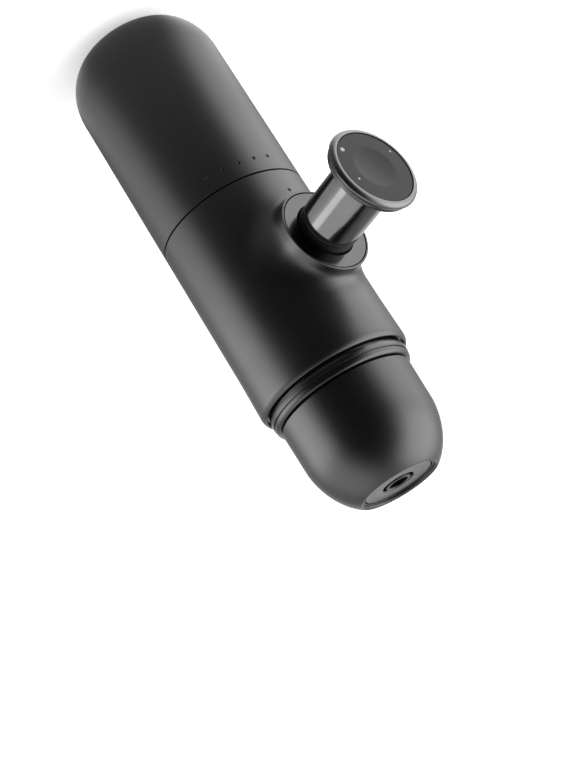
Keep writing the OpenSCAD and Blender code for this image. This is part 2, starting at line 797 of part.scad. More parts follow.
module piston_guide() {
    color(inner_black) outward() difference() {
        union() {
            translate([0, 0, guide_end_out])
                cylinder(r = guide_r, h = guide_seat_out - guide_end_out + eps);
            translate([0, 0, guide_seat_out]) cylinder(r = bezel_r, h = guide_flange_out - guide_seat_out);
        }
        translate([0, 0, guide_end_out - 1]) cylinder(r = guide_bush_r, h = boss_out + 20);
        difference() {
            translate([0, 0, guide_end_out - 1])
                cylinder(r = guide_bore_r, h = guide_stop_out - guide_end_out + 1);
            arcs(2, guide_bush_r, guide_bore_r + 1, lock_out, lock_out + lock_h, skirt_lug_w, 180, -2);
        }
        translate([0, 0, wiper_out]) cylinder(r = wiper_r + run, h = boss_out);
    }
}

module guide_bezel() {
    color(dark_metal) outward() ring(guide_bush_r, bezel_r, guide_flange_out, guide_flange_out + bezel_t);
}

module wiper_ring() {
    color(rubber) outward() ring(sleeve_r + slip, wiper_r, wiper_out, wiper_out + wiper_t);
}

// ---------- piston ----------

module piston_skirt() {
    color(inner_black) outward() union() {
        ring(skirt_in_r, skirt_r, skirt_end_out, foot_out);
        ring(skirt_in_r, sleeve_in_r - run, foot_out - eps, foot_out + skirt_root);
        arcs(2, skirt_r - skirt_lug_root, skirt_lug_r,
            skirt_end_out, skirt_end_out + skirt_lug_h, 0, skirt_lug_w);
    }
}

module piston_sleeve() {
    color(chrome) outward() ring(sleeve_in_r, sleeve_r, foot_out, knob_back_out);
}

module piston_rod() {
    color(steel) outward() difference() {
        union() {
            translate([0, 0, piston_back_out]) cylinder(r = rod_r, h = rod_end_out - piston_back_out);
            translate([0, 0, piston_back_out - tenon_len]) cylinder(r = tenon_r, h = tenon_len + eps);
        }
        translate([0, 0, knob_seat_out - knob_screw_seat - knob_screw_len - 1])
            cylinder(r = screw_r + run, h = knob_screw_len + knob_t);
    }
}

function groove_out(k) = piston_front_out + groove_start + k * groove_pitch;

module piston_head() {
    color(inner_grey) outward() difference() {
        translate([0, 0, piston_front_out]) cylinder(r = piston_r, h = head_len);
        translate([0, 0, piston_back_out - tenon_len]) cylinder(r = tenon_r + run, h = tenon_len + 1);
        for (k = [0, 1])
            ring(piston_r - 2 * seal_wire_r, piston_r + 1,
                groove_out(k), groove_out(k) + groove_w);
    }
}

module piston_seals() {
    color(rubber) outward() for (k = [0, 1])
        rotate_extrude() translate([piston_r - seal_wire_r, groove_out(k) + groove_w / 2])
            circle(r = seal_wire_r - run, $fn = 24);
}

module thrust_washer() {
    color(steel) outward() ring(rod_r + play, sleeve_in_r - play, washer_out, washer_out + washer_t);
}

// Points of one ring of the spring's wire, at an angle along the coil
function wire_ring(a) =
    let (
        rise = (spring_end_out - spring_start_out - wire_d) * a / (360 * spring_turns),
        lean = atan((spring_end_out - spring_start_out - wire_d) / (2 * PI * spring_r * spring_turns))
    )
    [for (j = [0 : spring_sides - 1])
        let (
            b = 360 * j / spring_sides,
            r = spring_r + wire_d / 2 * cos(b),
            side = -wire_d / 2 * sin(b) * sin(lean)
        )
        [r * cos(a) - side * sin(a), r * sin(a) + side * cos(a),
         spring_start_out + wire_d / 2 + rise + wire_d / 2 * sin(b) * cos(lean)]];

module return_spring() {
    count = spring_turns * spring_rings + 1;
    m = spring_sides;
    points = [for (k = [0 : count - 1]) each wire_ring(k * 360 / spring_rings)];
    sides = [for (k = [0 : count - 2], j = [0 : m - 1])
        let (p = k * m + j, q = k * m + (j + 1) % m) each [[p, q + m, q], [p, p + m, q + m]]];
    start_cap = [for (j = [1 : m - 2]) [0, j, j + 1]];
    end_cap = [for (j = [1 : m - 2]) [(count - 1) * m, (count - 1) * m + j + 1, (count - 1) * m + j]];
    pitch = (spring_end_out - spring_start_out - wire_d) / spring_turns;
    echo(least_gap_between_turns = pitch - wire_d);
    color(steel) outward() polyhedron(points = points, faces = concat(sides, start_cap, end_cap),
        convexity = 10);
}

// ---------- knob ----------

module knob_base() {
    color(inner_black) outward() difference() {
        union() {
            translate([0, 0, knob_hub_out]) cylinder(r = sleeve_in_r - run, h = hub_len + eps);
            rotate_extrude() polygon([[0, knob_back_out], [band_r - band_edge, knob_back_out],
                [band_r, knob_back_out + band_edge], [band_r, knob_ring_out], [0, knob_ring_out]]);
            translate([0, 0, knob_ring_out - eps])
                cylinder(r = knob_face_r, h = knob_seat_out - knob_ring_out + eps);
        }
        translate([0, 0, knob_hub_out - 1]) cylinder(r = rod_r + run, h = rod_end_out - knob_hub_out + 1);
        translate([0, 0, knob_hub_out]) cylinder(r = screw_r + slip, h = knob_t + hub_len);
        translate([0, 0, knob_seat_out - knob_screw_seat])
            cylinder(r = screw_head_r + fit, h = knob_t);
    }
}

module knob_ring() {
    mid = (knob_ring_out + knob_out) / 2;
    high = (knob_out - knob_ring_out) / 2;
    color(dark_metal) outward() rotate_extrude() polygon(concat(
        [[ring_in_r, knob_ring_out]],
        [for (a = [-90 : 15 : 90]) [knob_r - ring_round * (1 - cos(a)), mid + high * sin(a)]],
        [[ring_in_r + ring_edge, knob_out], [ring_in_r, knob_out - ring_edge]]
    ));
}

// Shallow dish in a face, as a cap of a sphere
module knob_face() {
    dish_ball_r = (pow(dish_r, 2) + pow(dish_depth, 2)) / (2 * dish_depth);
    color(dark_metal) outward() difference() {
        translate([0, 0, knob_seat_out]) cylinder(r = knob_face_r, h = face_t);
        translate([0, 0, knob_face_out - dish_depth + dish_ball_r])
            sphere(r = dish_ball_r, $fn = 180);
    }
}

module knob_screw() {
    color(steel) outward() union() {
        translate([0, 0, knob_seat_out - knob_screw_seat])
            cylinder(r = screw_head_r, h = knob_screw_head_h);
        translate([0, 0, knob_seat_out - knob_screw_seat - knob_screw_len])
            cylinder(r = screw_r, h = knob_screw_len + eps);
    }
}

water_tank();
tank_gasket();
main_housing();
pump_block();
pump_cylinder();
cylinder_gasket();
inlet_filter();
inlet_valve();
outlet_valve();
air_valve();
transfer_seal();
chassis_screws();
brew_chamber();
brew_gasket();
shower_screen();
shower_screw();
filter_basket();
basket_screen();
head_gasket();
outlet_head();
funnel_seal();
spout_funnel();
face_plate();
piston_guide();
guide_bezel();
wiper_ring();
piston_skirt();
piston_sleeve();
piston_rod();
piston_head();
piston_seals();
thrust_washer();
return_spring();
knob_base();
knob_ring();
knob_face();
knob_screw();
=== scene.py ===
"""Handheld manual espresso maker: the finish of every surface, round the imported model."""

import math

import bmesh
import bpy
from mathutils import Matrix, Vector


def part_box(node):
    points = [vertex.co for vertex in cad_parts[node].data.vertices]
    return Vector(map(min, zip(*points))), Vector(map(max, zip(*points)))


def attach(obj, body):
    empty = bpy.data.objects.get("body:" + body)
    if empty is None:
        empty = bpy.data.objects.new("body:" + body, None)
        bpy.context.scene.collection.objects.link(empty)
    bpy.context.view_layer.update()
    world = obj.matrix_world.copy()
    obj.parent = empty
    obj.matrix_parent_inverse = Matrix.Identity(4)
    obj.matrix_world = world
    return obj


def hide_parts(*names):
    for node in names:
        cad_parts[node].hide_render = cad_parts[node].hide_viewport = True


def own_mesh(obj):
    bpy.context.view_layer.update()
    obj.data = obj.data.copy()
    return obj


bl_info = {
    "name": "Manual Espresso Maker",
    "version": (1, 0, 0),
    "blender": (4, 5, 0),
    "location": "View3D > Sidebar > Espresso Maker",
    "description": "Builds the visible pieces of a hand-pumped espresso maker",
    "category": "Object",
}

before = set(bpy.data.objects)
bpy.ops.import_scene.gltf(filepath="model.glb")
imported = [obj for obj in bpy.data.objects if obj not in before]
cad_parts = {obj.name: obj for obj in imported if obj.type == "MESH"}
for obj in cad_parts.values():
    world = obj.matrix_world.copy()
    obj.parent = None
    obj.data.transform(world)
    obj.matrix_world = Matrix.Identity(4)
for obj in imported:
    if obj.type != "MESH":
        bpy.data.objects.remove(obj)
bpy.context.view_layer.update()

MM = 0.001
TURNS = 192                     # divisions of a round piece
SHARP = math.radians(38)        # above this angle an edge stays sharp
SAME = 0.002 * MM               # points nearer than this are one point
FINE = 0.12 * MM                # rounding of a turned edge
SOFT = 0.3 * MM                 # rounding of a moulded edge
ROUNDING_STEPS = 4
DIMPLE_DEPTH = 0.55 * MM
SLIP = 0.05 * MM                # play of what sits inside a sleeve or on the rod
BAYONET = (3, 22.5)             # lugs of the tank and of the head, and degrees of each
PISTON_LUGS = (2, 30)


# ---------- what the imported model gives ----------

def low(node):
    """Lowest corner of a CAD node's box."""
    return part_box(node)[0]


def high(node):
    """Highest corner of a CAD node's box."""
    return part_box(node)[1]


TANK_R = high("water_tank").x
TANK_NECK_Z = high("water_tank").z
SEAM_Z = low("main_housing").z
LIP_Z = high("main_housing").z
BOSS_OUT = -low("main_housing").y
PISTON_Z = (low("piston_sleeve").z + high("piston_sleeve").z) / 2
COLLAR_END_Z = high("brew_chamber").z
HEAD_NECK_Z = low("outlet_head").z
HEAD_TOP_Z = high("outlet_head").z
PLATE_LOW_Z = low("face_plate").z
PLATE_TOP_Z = high("face_plate").z
PLATE_R = high("face_plate").x
FUNNEL_LOW_Z = low("spout_funnel").z
FUNNEL_R = high("spout_funnel").x
SPOUT_TOP_Z = high("spout_funnel").z
BEZEL_R = high("guide_bezel").x
BEZEL_BACK = -high("guide_bezel").y
BEZEL_OUT = -low("guide_bezel").y
SLEEVE_R = high("piston_sleeve").x
FOOT_OUT = -high("piston_sleeve").y
KNOB_BACK = -low("piston_sleeve").y
SKIRT_END = -high("piston_skirt").y
SKIRT_TOP = -low("piston_skirt").y
SKIRT_LUG_R = high("piston_skirt").x
HUB_END = -high("knob_base").y
KNOB_SEAT = -low("knob_base").y
BAND_R = high("knob_base").x
RING_BACK = -high("knob_ring").y
RING_OUT = -low("knob_ring").y
RING_R = high("knob_ring").x
FACE_OUT = -low("knob_face").y
FACE_R = high("knob_face").x
ROD_R = high("piston_rod").x
SPRING_START = -high("return_spring").y
SPRING_END = -low("return_spring").y
SPRING_R = high("return_spring").x


# ---------- settings ----------

def length(name, text, millimetres):
    """A setting for a length, given in millimetres."""
    return bpy.props.FloatProperty(name=name, description=text, default=millimetres * MM,
                                   min=0, subtype="DISTANCE", unit="LENGTH")


def colour(name, text, value):
    """A setting for a colour."""
    return bpy.props.FloatVectorProperty(name=name, description=text, default=value,
                                         size=3, min=0, max=1, subtype="COLOR")


def factor(name, text, value):
    """A setting between 0 and 1."""
    return bpy.props.FloatProperty(name=name, description=text, default=value,
                                   min=0, max=1, subtype="FACTOR")


class BodySizes(bpy.types.PropertyGroup):
    """Tank, housing and collar"""
    wall: length("Wall", "Wall thickness of tank and housing", 2.2)
    base_round_r: length("Base rounding", "How far the tank's rounded end comes in", 14.8)
    base_round_h: length("Base height", "Height of the tank's rounded end", 19.7)
    floor: length("Floor", "Thickness of the tank's floor", 2.6)
    seam_edge: length("Seam edge", "Rounding of the two edges at the seam", 0.18)
    seam_half: length("Half the seam", "Half of the packed gap between tank and housing", 0.15)
    tank_drop: length("Tank drop", "How far the tank's shoulder stays below the housing", 0.65)
    flange_r: length("Flange radius", "Radius of the recess for the pump's flange", 28.7)
    flange_h: length("Flange height", "Height of the recess for the pump's flange", 1.75)
    seat_r: length("Seat radius", "Inner radius of the lip round the collar", 28.8)
    seat_h: length("Seat height", "Depth of the lip's recess round the collar", 2.5)
    neck_r: length("Neck radius", "Outer radius of the tank's neck", 24.6)
    neck_wall: length("Neck wall", "Wall of the tank's neck", 2)
    lug_r: length("Lug radius", "Outer radius of a bayonet lug", 25.8)
    lug_h: length("Lug height", "Height of a bayonet lug", 2.5)
    tank_lug_rise: length("Lug rise", "Height of the tank's lugs above the seam", 5)
    dot_r: length("Dot radius", "Radius of an index dimple", 0.75)
    dot_drop: length("Dot drop", "Distance of the dimples from the seam", 6.5)
    lip_r: length("Lip radius", "Largest radius of the housing's lip", 30.3)
    lip_round_r: length("Lip rounding", "How far the lip's edge comes in", 1.9)
    lip_round_h: length("Lip height", "Height of the lip's full rounding", 3)
    lip_drop: length("Lip drop", "Height of the rounded stretch that is there", 2.7)
    lip_back: length("Lip gap", "How far the lip stays behind the housing's end", 0.2)
    collar_r: length("Collar radius", "Outer radius of the collar's lower band", 28.3)
    collar_top: length("Collar height", "Height of the lower band's top above the lip", 3.3)
    band_r: length("Upper band radius", "Outer radius of the collar's upper band", 28.05)
    band_h: length("Upper band height", "Height of the collar's upper band", 2.3)
    band_end_r: length("Upper band end", "Radius at which the upper band rolls in", 26.6)
    collar_edge: length("Collar edge", "Bevel of the edges at the collar's groove", 0.12)
    gap_r: length("Gap radius", "Inner radius of the dark gap below the collar", 27.6)
    gap_rise: length("Gap floor", "Distance of the packed gap's floor from the lip", 0.4)
    gap_more: length("Gap depth", "How much deeper that floor lies here", 1.4)


class BossSizes(bpy.types.PropertyGroup):
    """Boss for the piston"""
    outer_r: length("Boss radius", "Outer radius of the boss", 17.8)
    rim: length("Boss rim", "Width of the boss's rim", 0.7)
    recess: length("Recess", "Depth of the recess in the boss", 3.2)
    bore_r: length("Boss bore", "Radius of the bore for the guide", 14)
    blend_up: length("Blend height", "How far the blend climbs the boss", 4.2)
    blend_over: length("Blend reach", "How far the blend reaches over the housing", 7)
    rim_edge: length("Rim edge", "Rounding of the boss's outer edge", 0.3)


class HeadSizes(bpy.types.PropertyGroup):
    """Outlet head with its plate and spout"""
    side_r: length("Head radius", "Radius of the outlet head at its lower edge", 26.6)
    dome_step: length("Taper", "How far the side draws in below the dome", 0.3)
    gap_z: length("Lower edge", "Height of the head's lower edge", 169.8)
    dome_z: length("Dome start", "Height at which the dome starts", 186)
    rim_r: length("Rim radius", "Radius of the crest round the outlet", 15.8)
    rim_w: length("Rim slope", "Width of the slope inside the crest", 1.1)
    rim_slope: length("Slope depth", "Depth of the slope inside the crest", 0.7)
    rim_step: length("Rim step", "Depth of the ledge inside the crest", 1.1)
    dome_reach: length("Dome reach", "How far the dome's curve would run past the crest", 5)
    neck_r: length("Neck radius", "Outer radius of the head's neck", 24.5)
    bore_r: length("Bore radius", "Inner radius of the head's neck", 22.2)
    lug_z: length("Lug place", "Height at which the head's lugs start", 158)
    lug_h: length("Lug height", "Height of a bayonet lug", 2.5)
    lug_r: length("Lug radius", "Outer radius of a bayonet lug", 25.8)
    ledge_z: length("Ledge", "Height of the ledge that the funnel meets", 171.3)
    ledge_r: length("Ledge radius", "Inner radius of that ledge", 20.9)
    spout_r: length("Spout radius", "Outer radius of the spout", 5.1)
    spout_hole_r: length("Spout hole", "Radius of the spout's hole", 3.7)
    plate_hole_r: length("Plate hole", "Radius of the hole in the face plate", 6.2)


class PistonSizes(bpy.types.PropertyGroup):
    """Piston, knob and spring"""
    bush_r: length("Bush radius", "Inner radius of the metal bezel", 11.5)
    sleeve_wall: length("Sleeve wall", "Wall of the chrome sleeve", 0.9)
    skirt_r: length("Skirt radius", "Outer radius of the black foot", 11)
    skirt_in_r: length("Skirt bore", "Inner radius of the black foot", 9.6)
    skirt_lug_h: length("Skirt lugs", "Height of the lugs of the black foot", 2.5)
    screw_r: length("Screw radius", "Radius of the knob's screw", 1.6)
    screw_head_r: length("Screw head", "Radius of the bore for the screw's head", 3.05)
    ring_in_r: length("Ring bore", "Inner radius of the knob's ring", 15.4)
    ring_more: length("Ring reach", "How much wider than packed the knob's ring is", 0.5)
    band_top: length("Band height", "Height of the knob's lower band", 1.8)
    dish_r: length("Dish radius", "Radius of the thumb dish", 8.8)
    dish_depth: length("Dish depth", "Depth of the thumb dish", 0.6)
    wire_r: length("Wire radius", "Radius of the spring's wire", 0.6)
    spring_turns: bpy.props.IntProperty(name="Turns", description="Turns of the return spring",
                                        default=8, min=3, max=20)


class Finishes(bpy.types.PropertyGroup):
    """Colours and roughness"""
    shell: colour("Shell", "Satin black of tank, housing and head", (0.0026, 0.0026, 0.0028))
    shell_light: colour("Shell, light", "Lighter tone in the shell's grain",
                        (0.0034, 0.0034, 0.0036))
    black: colour("Black plastic", "Smooth black plastic", (0.004, 0.004, 0.0042))
    inner: colour("Inner plastic", "Glass-filled grey plastic", (0.3, 0.31, 0.32))
    chrome: colour("Chrome", "Dark polished sleeve", (0.17, 0.17, 0.173))
    dark_metal: colour("Dark metal", "Bezel of the boss", (0.083, 0.083, 0.085))
    plate: colour("Plate metal", "Face plate of the outlet", (0.082, 0.082, 0.084))
    ring_metal: colour("Ring metal", "Ring of the knob", (0.17, 0.17, 0.173))
    face: colour("Knob face", "Dark face of the knob", (0.01, 0.01, 0.0103))
    steel: colour("Steel", "Stainless steel", (0.34, 0.34, 0.345))
    rubber: colour("Rubber", "Seal rubber", (0.02, 0.02, 0.021))
    silicone: colour("Silicone", "Milky silicone", (0.5, 0.5, 0.48))
    shell_roughness: factor("Shell roughness", "Mean roughness of the shell", 0.34)


# ---------- helpers for meshes ----------

def outward(bm):
    """Turns a mesh made about Z so that its heights point out of the boss."""
    bmesh.ops.transform(bm, matrix=Matrix.Translation((0, 0, PISTON_Z))
                        @ Matrix.Rotation(math.radians(90), 4, "X"), verts=bm.verts)


def mesh_of(name, bm):
    """A mesh with what a working mesh holds; the working mesh is freed."""
    mesh = bpy.data.meshes.new(name)
    bm.to_mesh(mesh)
    bm.free()
    return mesh


def placed(name, data):
    """A new object in the scene."""
    obj = bpy.data.objects.new(name, data)
    bpy.context.scene.collection.objects.link(obj)
    return obj


def set_reach(v, reach):
    """Moves a vertex level to a distance from the Z axis."""
    share = reach / math.hypot(v.co.x, v.co.y)
    v.co.x *= share
    v.co.y *= share


def spun(outline, closed=True, turns=TURNS):
    """Spins an outline of (radius, height, rounding) corners about Z, and rounds its corners."""
    bm = bmesh.new()
    verts = [bm.verts.new((c[0], 0, c[1])) for c in outline]
    pairs = list(zip(verts, verts[1:])) + ([(verts[-1], verts[0])] if closed else [])
    edges = [bm.edges.new(pair) for pair in pairs]
    bmesh.ops.spin(bm, geom=verts + edges, cent=(0, 0, 0), axis=(0, 0, 1),
                   angle=math.tau, steps=turns, use_merge=True)
    bmesh.ops.remove_doubles(bm, verts=bm.verts, dist=SAME)
    bmesh.ops.recalc_face_normals(bm, faces=bm.faces)
    for size in sorted({c[2] for c in outline if len(c) > 2}, reverse=True):
        for corner in outline:
            if len(corner) > 2 and corner[2] == size:
                round_ring(bm, corner[0], corner[1], size)
    return bm


def round_ring(bm, radius, height, size):
    """Rounds the ring of edges at one radius and height."""
    near = 1.5 * SAME
    ring = [e for e in bm.edges if all(
        abs(math.hypot(v.co.x, v.co.y) - radius) < near and abs(v.co.z - height) < near
        for v in e.verts)]
    bmesh.ops.bevel(bm, geom=ring, offset=size, offset_type="OFFSET", segments=ROUNDING_STEPS,
                    profile=0.5, affect="EDGES", material=-1, clamp_overlap=True)


def arc(centre_r, centre_h, reach_r, reach_h, start, end, steps):
    """Points of an elliptic arc, as outline corners without rounding."""
    return [(centre_r + reach_r * math.cos(math.radians(a)),
             centre_h + reach_h * math.sin(math.radians(a)))
            for a in (start + (end - start) * i / steps for i in range(steps + 1))]


def on_wall(face, radius):
    """True if a face lies on the round wall of that radius."""
    return all(abs(math.hypot(v.co.x, v.co.y) - radius) < 10 * SAME for v in face.verts)


def heading(co):
    """Angle of a point about Z, in degrees from 0 to 360."""
    return math.degrees(math.atan2(co.y, co.x)) % 360


def raise_lugs(bm, radius, reach_r, bottom, top, count, width):
    """Draws equal lugs out of a round wall, between two heights."""
    for k in range(count):
        start = k * 360 / count
        faces = [f for f in bm.faces if on_wall(f, radius)
                 and bottom < f.calc_center_median().z < top
                 and start < heading(f.calc_center_median()) < start + width]
        made = bmesh.ops.extrude_face_region(bm, geom=faces)
        for v in made["geom"]:
            if isinstance(v, bmesh.types.BMVert):
                set_reach(v, reach_r)


def piece(name, bm, material, body, nodes):
    """Makes the finished object: smooth, riding on its body, standing for its CAD nodes."""
    bm.normal_update()
    mesh = mesh_of(name, bm)
    mesh.materials.append(material)
    mesh.shade_smooth()
    mesh.set_sharp_from_angle(angle=SHARP)
    obj = placed(name, mesh)
    weighted = obj.modifiers.new("Even shading", "WEIGHTED_NORMAL")
    weighted.keep_sharp = True
    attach(obj, body)
    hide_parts(*nodes)
    return obj


def press_dimples(bm, places, radius):
    """Presses round dimples into a mesh, with small spheres as the stamps."""
    ball = (radius * radius + DIMPLE_DEPTH * DIMPLE_DEPTH) / (2 * DIMPLE_DEPTH)
    middle = TANK_R + ball - DIMPLE_DEPTH
    stamps = bmesh.new()
    for angle, z in places:
        at = Matrix.Rotation(math.radians(angle), 4, "Z") @ Vector((middle, 0, z))
        bmesh.ops.create_uvsphere(stamps, u_segments=32, v_segments=24, radius=ball,
                                  matrix=Matrix.Translation(at))
    work = placed("work", mesh_of("work", bm))
    cutter = placed("stamps", mesh_of("stamps", stamps))
    cut = work.modifiers.new("Dimples", "BOOLEAN")
    cut.operation = "DIFFERENCE"
    cut.solver = "EXACT"
    cut.object = cutter
    result = bmesh.new()
    result.from_object(work, bpy.context.evaluated_depsgraph_get())
    for obj in (work, cutter):
        mesh = obj.data
        bpy.data.objects.remove(obj)
        bpy.data.meshes.remove(mesh)
    return result


# ---------- shared effects, as node groups ----------

def group(name, inputs, outputs):
    """An empty shader group with float inputs (name, default) and named outputs."""
    tree = bpy.data.node_groups.new(name, "ShaderNodeTree")
    for label, default in inputs:
        socket = tree.interface.new_socket(label, in_out="INPUT", socket_type="NodeSocketFloat")
        socket.default_value = default
    tree.interface.new_socket("Vector", in_out="INPUT", socket_type="NodeSocketVector")
    for label in outputs:
        tree.interface.new_socket(label, in_out="OUTPUT", socket_type="NodeSocketFloat")
    return tree, tree.nodes.new("NodeGroupInput"), tree.nodes.new("NodeGroupOutput")


def give(tree, term, socket):
    """Gives an input its value, which may be a number or a socket."""
    if isinstance(term, (int, float)):
        socket.default_value = term
    else:
        tree.links.new(term, socket)


def vector_step(tree, operation, first, second=None):
    """One step of vector arithmetic on a socket, with a fixed second vector where it has one."""
    node = tree.nodes.new("ShaderNodeVectorMath")
    node.operation = operation
    tree.links.new(first, node.inputs[0])
    if second is not None:
        node.inputs[1].default_value = second
    return node.outputs["Vector" if operation == "NORMALIZE" else "Value"]


def reckon(tree, operation, first, second):
    """One step of arithmetic; each term may be a number or a socket."""
    node = tree.nodes.new("ShaderNodeMath")
    node.operation = operation
    for socket, term in zip(node.inputs, (first, second)):
        give(tree, term, socket)
    return node.outputs["Value"]


def noise(tree, vector, scale, detail, roughness):
    """A noise texture's value; its scale may be a number or a socket."""
    node = tree.nodes.new("ShaderNodeTexNoise")
    node.inputs["Detail"].default_value = detail
    node.inputs["Roughness"].default_value = roughness
    tree.links.new(vector, node.inputs["Vector"])
    give(tree, scale, node.inputs["Scale"])
    return node.outputs["Fac"]


def ranged(tree, value, start, end, low_out=0.0, high_out=1.0, smooth=False):
    """Maps a value from one range to another; the new ends may be numbers or sockets."""
    node = tree.nodes.new("ShaderNodeMapRange")
    node.interpolation_type = "SMOOTHSTEP" if smooth else "LINEAR"
    tree.links.new(value, node.inputs["Value"])
    for label, term in (("From Min", start), ("From Max", end), ("To Min", low_out),
                        ("To Max", high_out)):
        give(tree, term, node.inputs[label])
    return node.outputs["Result"]


WIDE, NARROW = (0.3, 0.7), (0.35, 0.65)     # stretches that hold most values of a noise


def grain_group():
    """Fine moulded grain: a height for the bump and a mask for the colour."""
    tree, given, out = group("Moulded grain", [("Scale", 2600.0)], ["Height", "Mask"])
    place = given.outputs["Vector"]
    fine = noise(tree, place, given.outputs["Scale"], detail=2.0, roughness=0.5)
    broad = noise(tree, place, 90.0, detail=4.0, roughness=0.6)
    tree.links.new(fine, out.inputs["Height"])
    tree.links.new(ranged(tree, broad, *NARROW), out.inputs["Mask"])
    return tree


def touch_group():
    """Roughness that wanders between two values, as on a handled surface."""
    tree, given, out = group("Touch marks", [("Smooth", 0.3), ("Rough", 0.4)], ["Roughness"])
    patches = noise(tree, given.outputs["Vector"], 38.0, detail=5.0, roughness=0.62)
    spread = ranged(tree, patches, *WIDE, given.outputs["Smooth"], given.outputs["Rough"])
    tree.links.new(spread, out.inputs["Roughness"])
    return tree


# The studio by direction. "Ahead" runs from 1 towards the camera to -1 away from it, and
# "aside" from 1 at the picture's left to -1 at its right; each pair is where a light fades.
FRONT_FADE = (0.79, 0.22)
BEHIND_FADE = (-0.7, -0.15)
RIGHT_FADE_BEHIND = (-0.95, -0.25)
RIGHT_FADE = (-0.1, -0.7)
LEFT_FADE = (0.1, 0.75)
BACKDROP_FADE = (-0.88, -0.97)


def surround_group():
    """The studio as a direction sees it: soft light on both sides, dark in front, pale behind."""
    tree, given, out = group(
        "Studio surround", [("Right", 2.3), ("Left", 0.7), ("Top", 0.6), ("Front", 0.015),
                            ("Back", 0.45), ("Backdrop", 1.0)], ["Level", "Front share"])
    back_x, back_y = -CAMERA_FORWARD.x, -CAMERA_FORWARD.y
    ahead, aside = (
        vector_step(tree, "DOT_PRODUCT", given.outputs["Vector"], Vector(axis).normalized())
        for axis in ((back_x, back_y, 0), (-back_y, back_x, 0)))
    rise = ranged(tree, ahead, *FRONT_FADE, smooth=True)
    fall = ranged(tree, ahead, *BEHIND_FADE, smooth=True)
    longer = ranged(tree, ahead, *RIGHT_FADE_BEHIND, smooth=True)
    right = ranged(tree, aside, *RIGHT_FADE, 0.0, given.outputs["Right"], smooth=True)
    right = reckon(tree, "MULTIPLY", right, longer)
    left = ranged(tree, aside, *LEFT_FADE, 0.0, given.outputs["Left"], smooth=True)
    left = reckon(tree, "MULTIPLY", reckon(tree, "ADD", left, given.outputs["Top"]), fall)
    panels = reckon(tree, "MULTIPLY", reckon(tree, "ADD", right, left), rise)
    share = reckon(tree, "SUBTRACT", 1.0, rise)
    front = reckon(tree, "MULTIPLY", share, given.outputs["Front"])
    behind = ranged(tree, ahead, *BACKDROP_FADE, given.outputs["Back"],
                    given.outputs["Backdrop"], smooth=True)
    behind = reckon(tree, "MULTIPLY", reckon(tree, "SUBTRACT", 1.0, fall), behind)
    level = reckon(tree, "ADD", reckon(tree, "ADD", panels, front), behind)
    tree.links.new(level, out.inputs["Level"])
    tree.links.new(share, out.inputs["Front share"])
    return tree


def turned_group():
    """Fine lines of a turned or polished round piece: rings about Z and along it."""
    tree, given, out = group("Turned lines", [("Pitch", 9000.0), ("Drift", 0.15)],
                             ["Height", "Roughness shift"])
    parts = tree.nodes.new("ShaderNodeSeparateXYZ")
    tree.links.new(given.outputs["Vector"], parts.inputs["Vector"])
    flat = tree.nodes.new("ShaderNodeCombineXYZ")
    tree.links.new(parts.outputs["X"], flat.inputs["X"])
    tree.links.new(parts.outputs["Y"], flat.inputs["Y"])
    along = tree.nodes.new("ShaderNodeCombineXYZ")
    tree.links.new(vector_step(tree, "LENGTH", flat.outputs["Vector"]), along.inputs["X"])
    tree.links.new(parts.outputs["Z"], along.inputs["Y"])
    place = along.outputs["Vector"]
    lines = noise(tree, place, given.outputs["Pitch"], detail=3.0, roughness=0.6)
    slow = noise(tree, place, 700.0, detail=2.0, roughness=0.5)
    tree.links.new(lines, out.inputs["Height"])
    shift = reckon(tree, "MULTIPLY", ranged(tree, slow, *WIDE, -1.0, 1.0),
                   given.outputs["Drift"])
    tree.links.new(shift, out.inputs["Roughness shift"])
    return tree


GROUPS = {}


def shared(name):
    """The shared effect of that name, made the first time that it is asked for."""
    makers = {"grain": grain_group, "touch": touch_group, "turned": turned_group,
              "surround": surround_group}
    if name not in GROUPS:
        GROUPS[name] = makers[name]()
    return GROUPS[name]


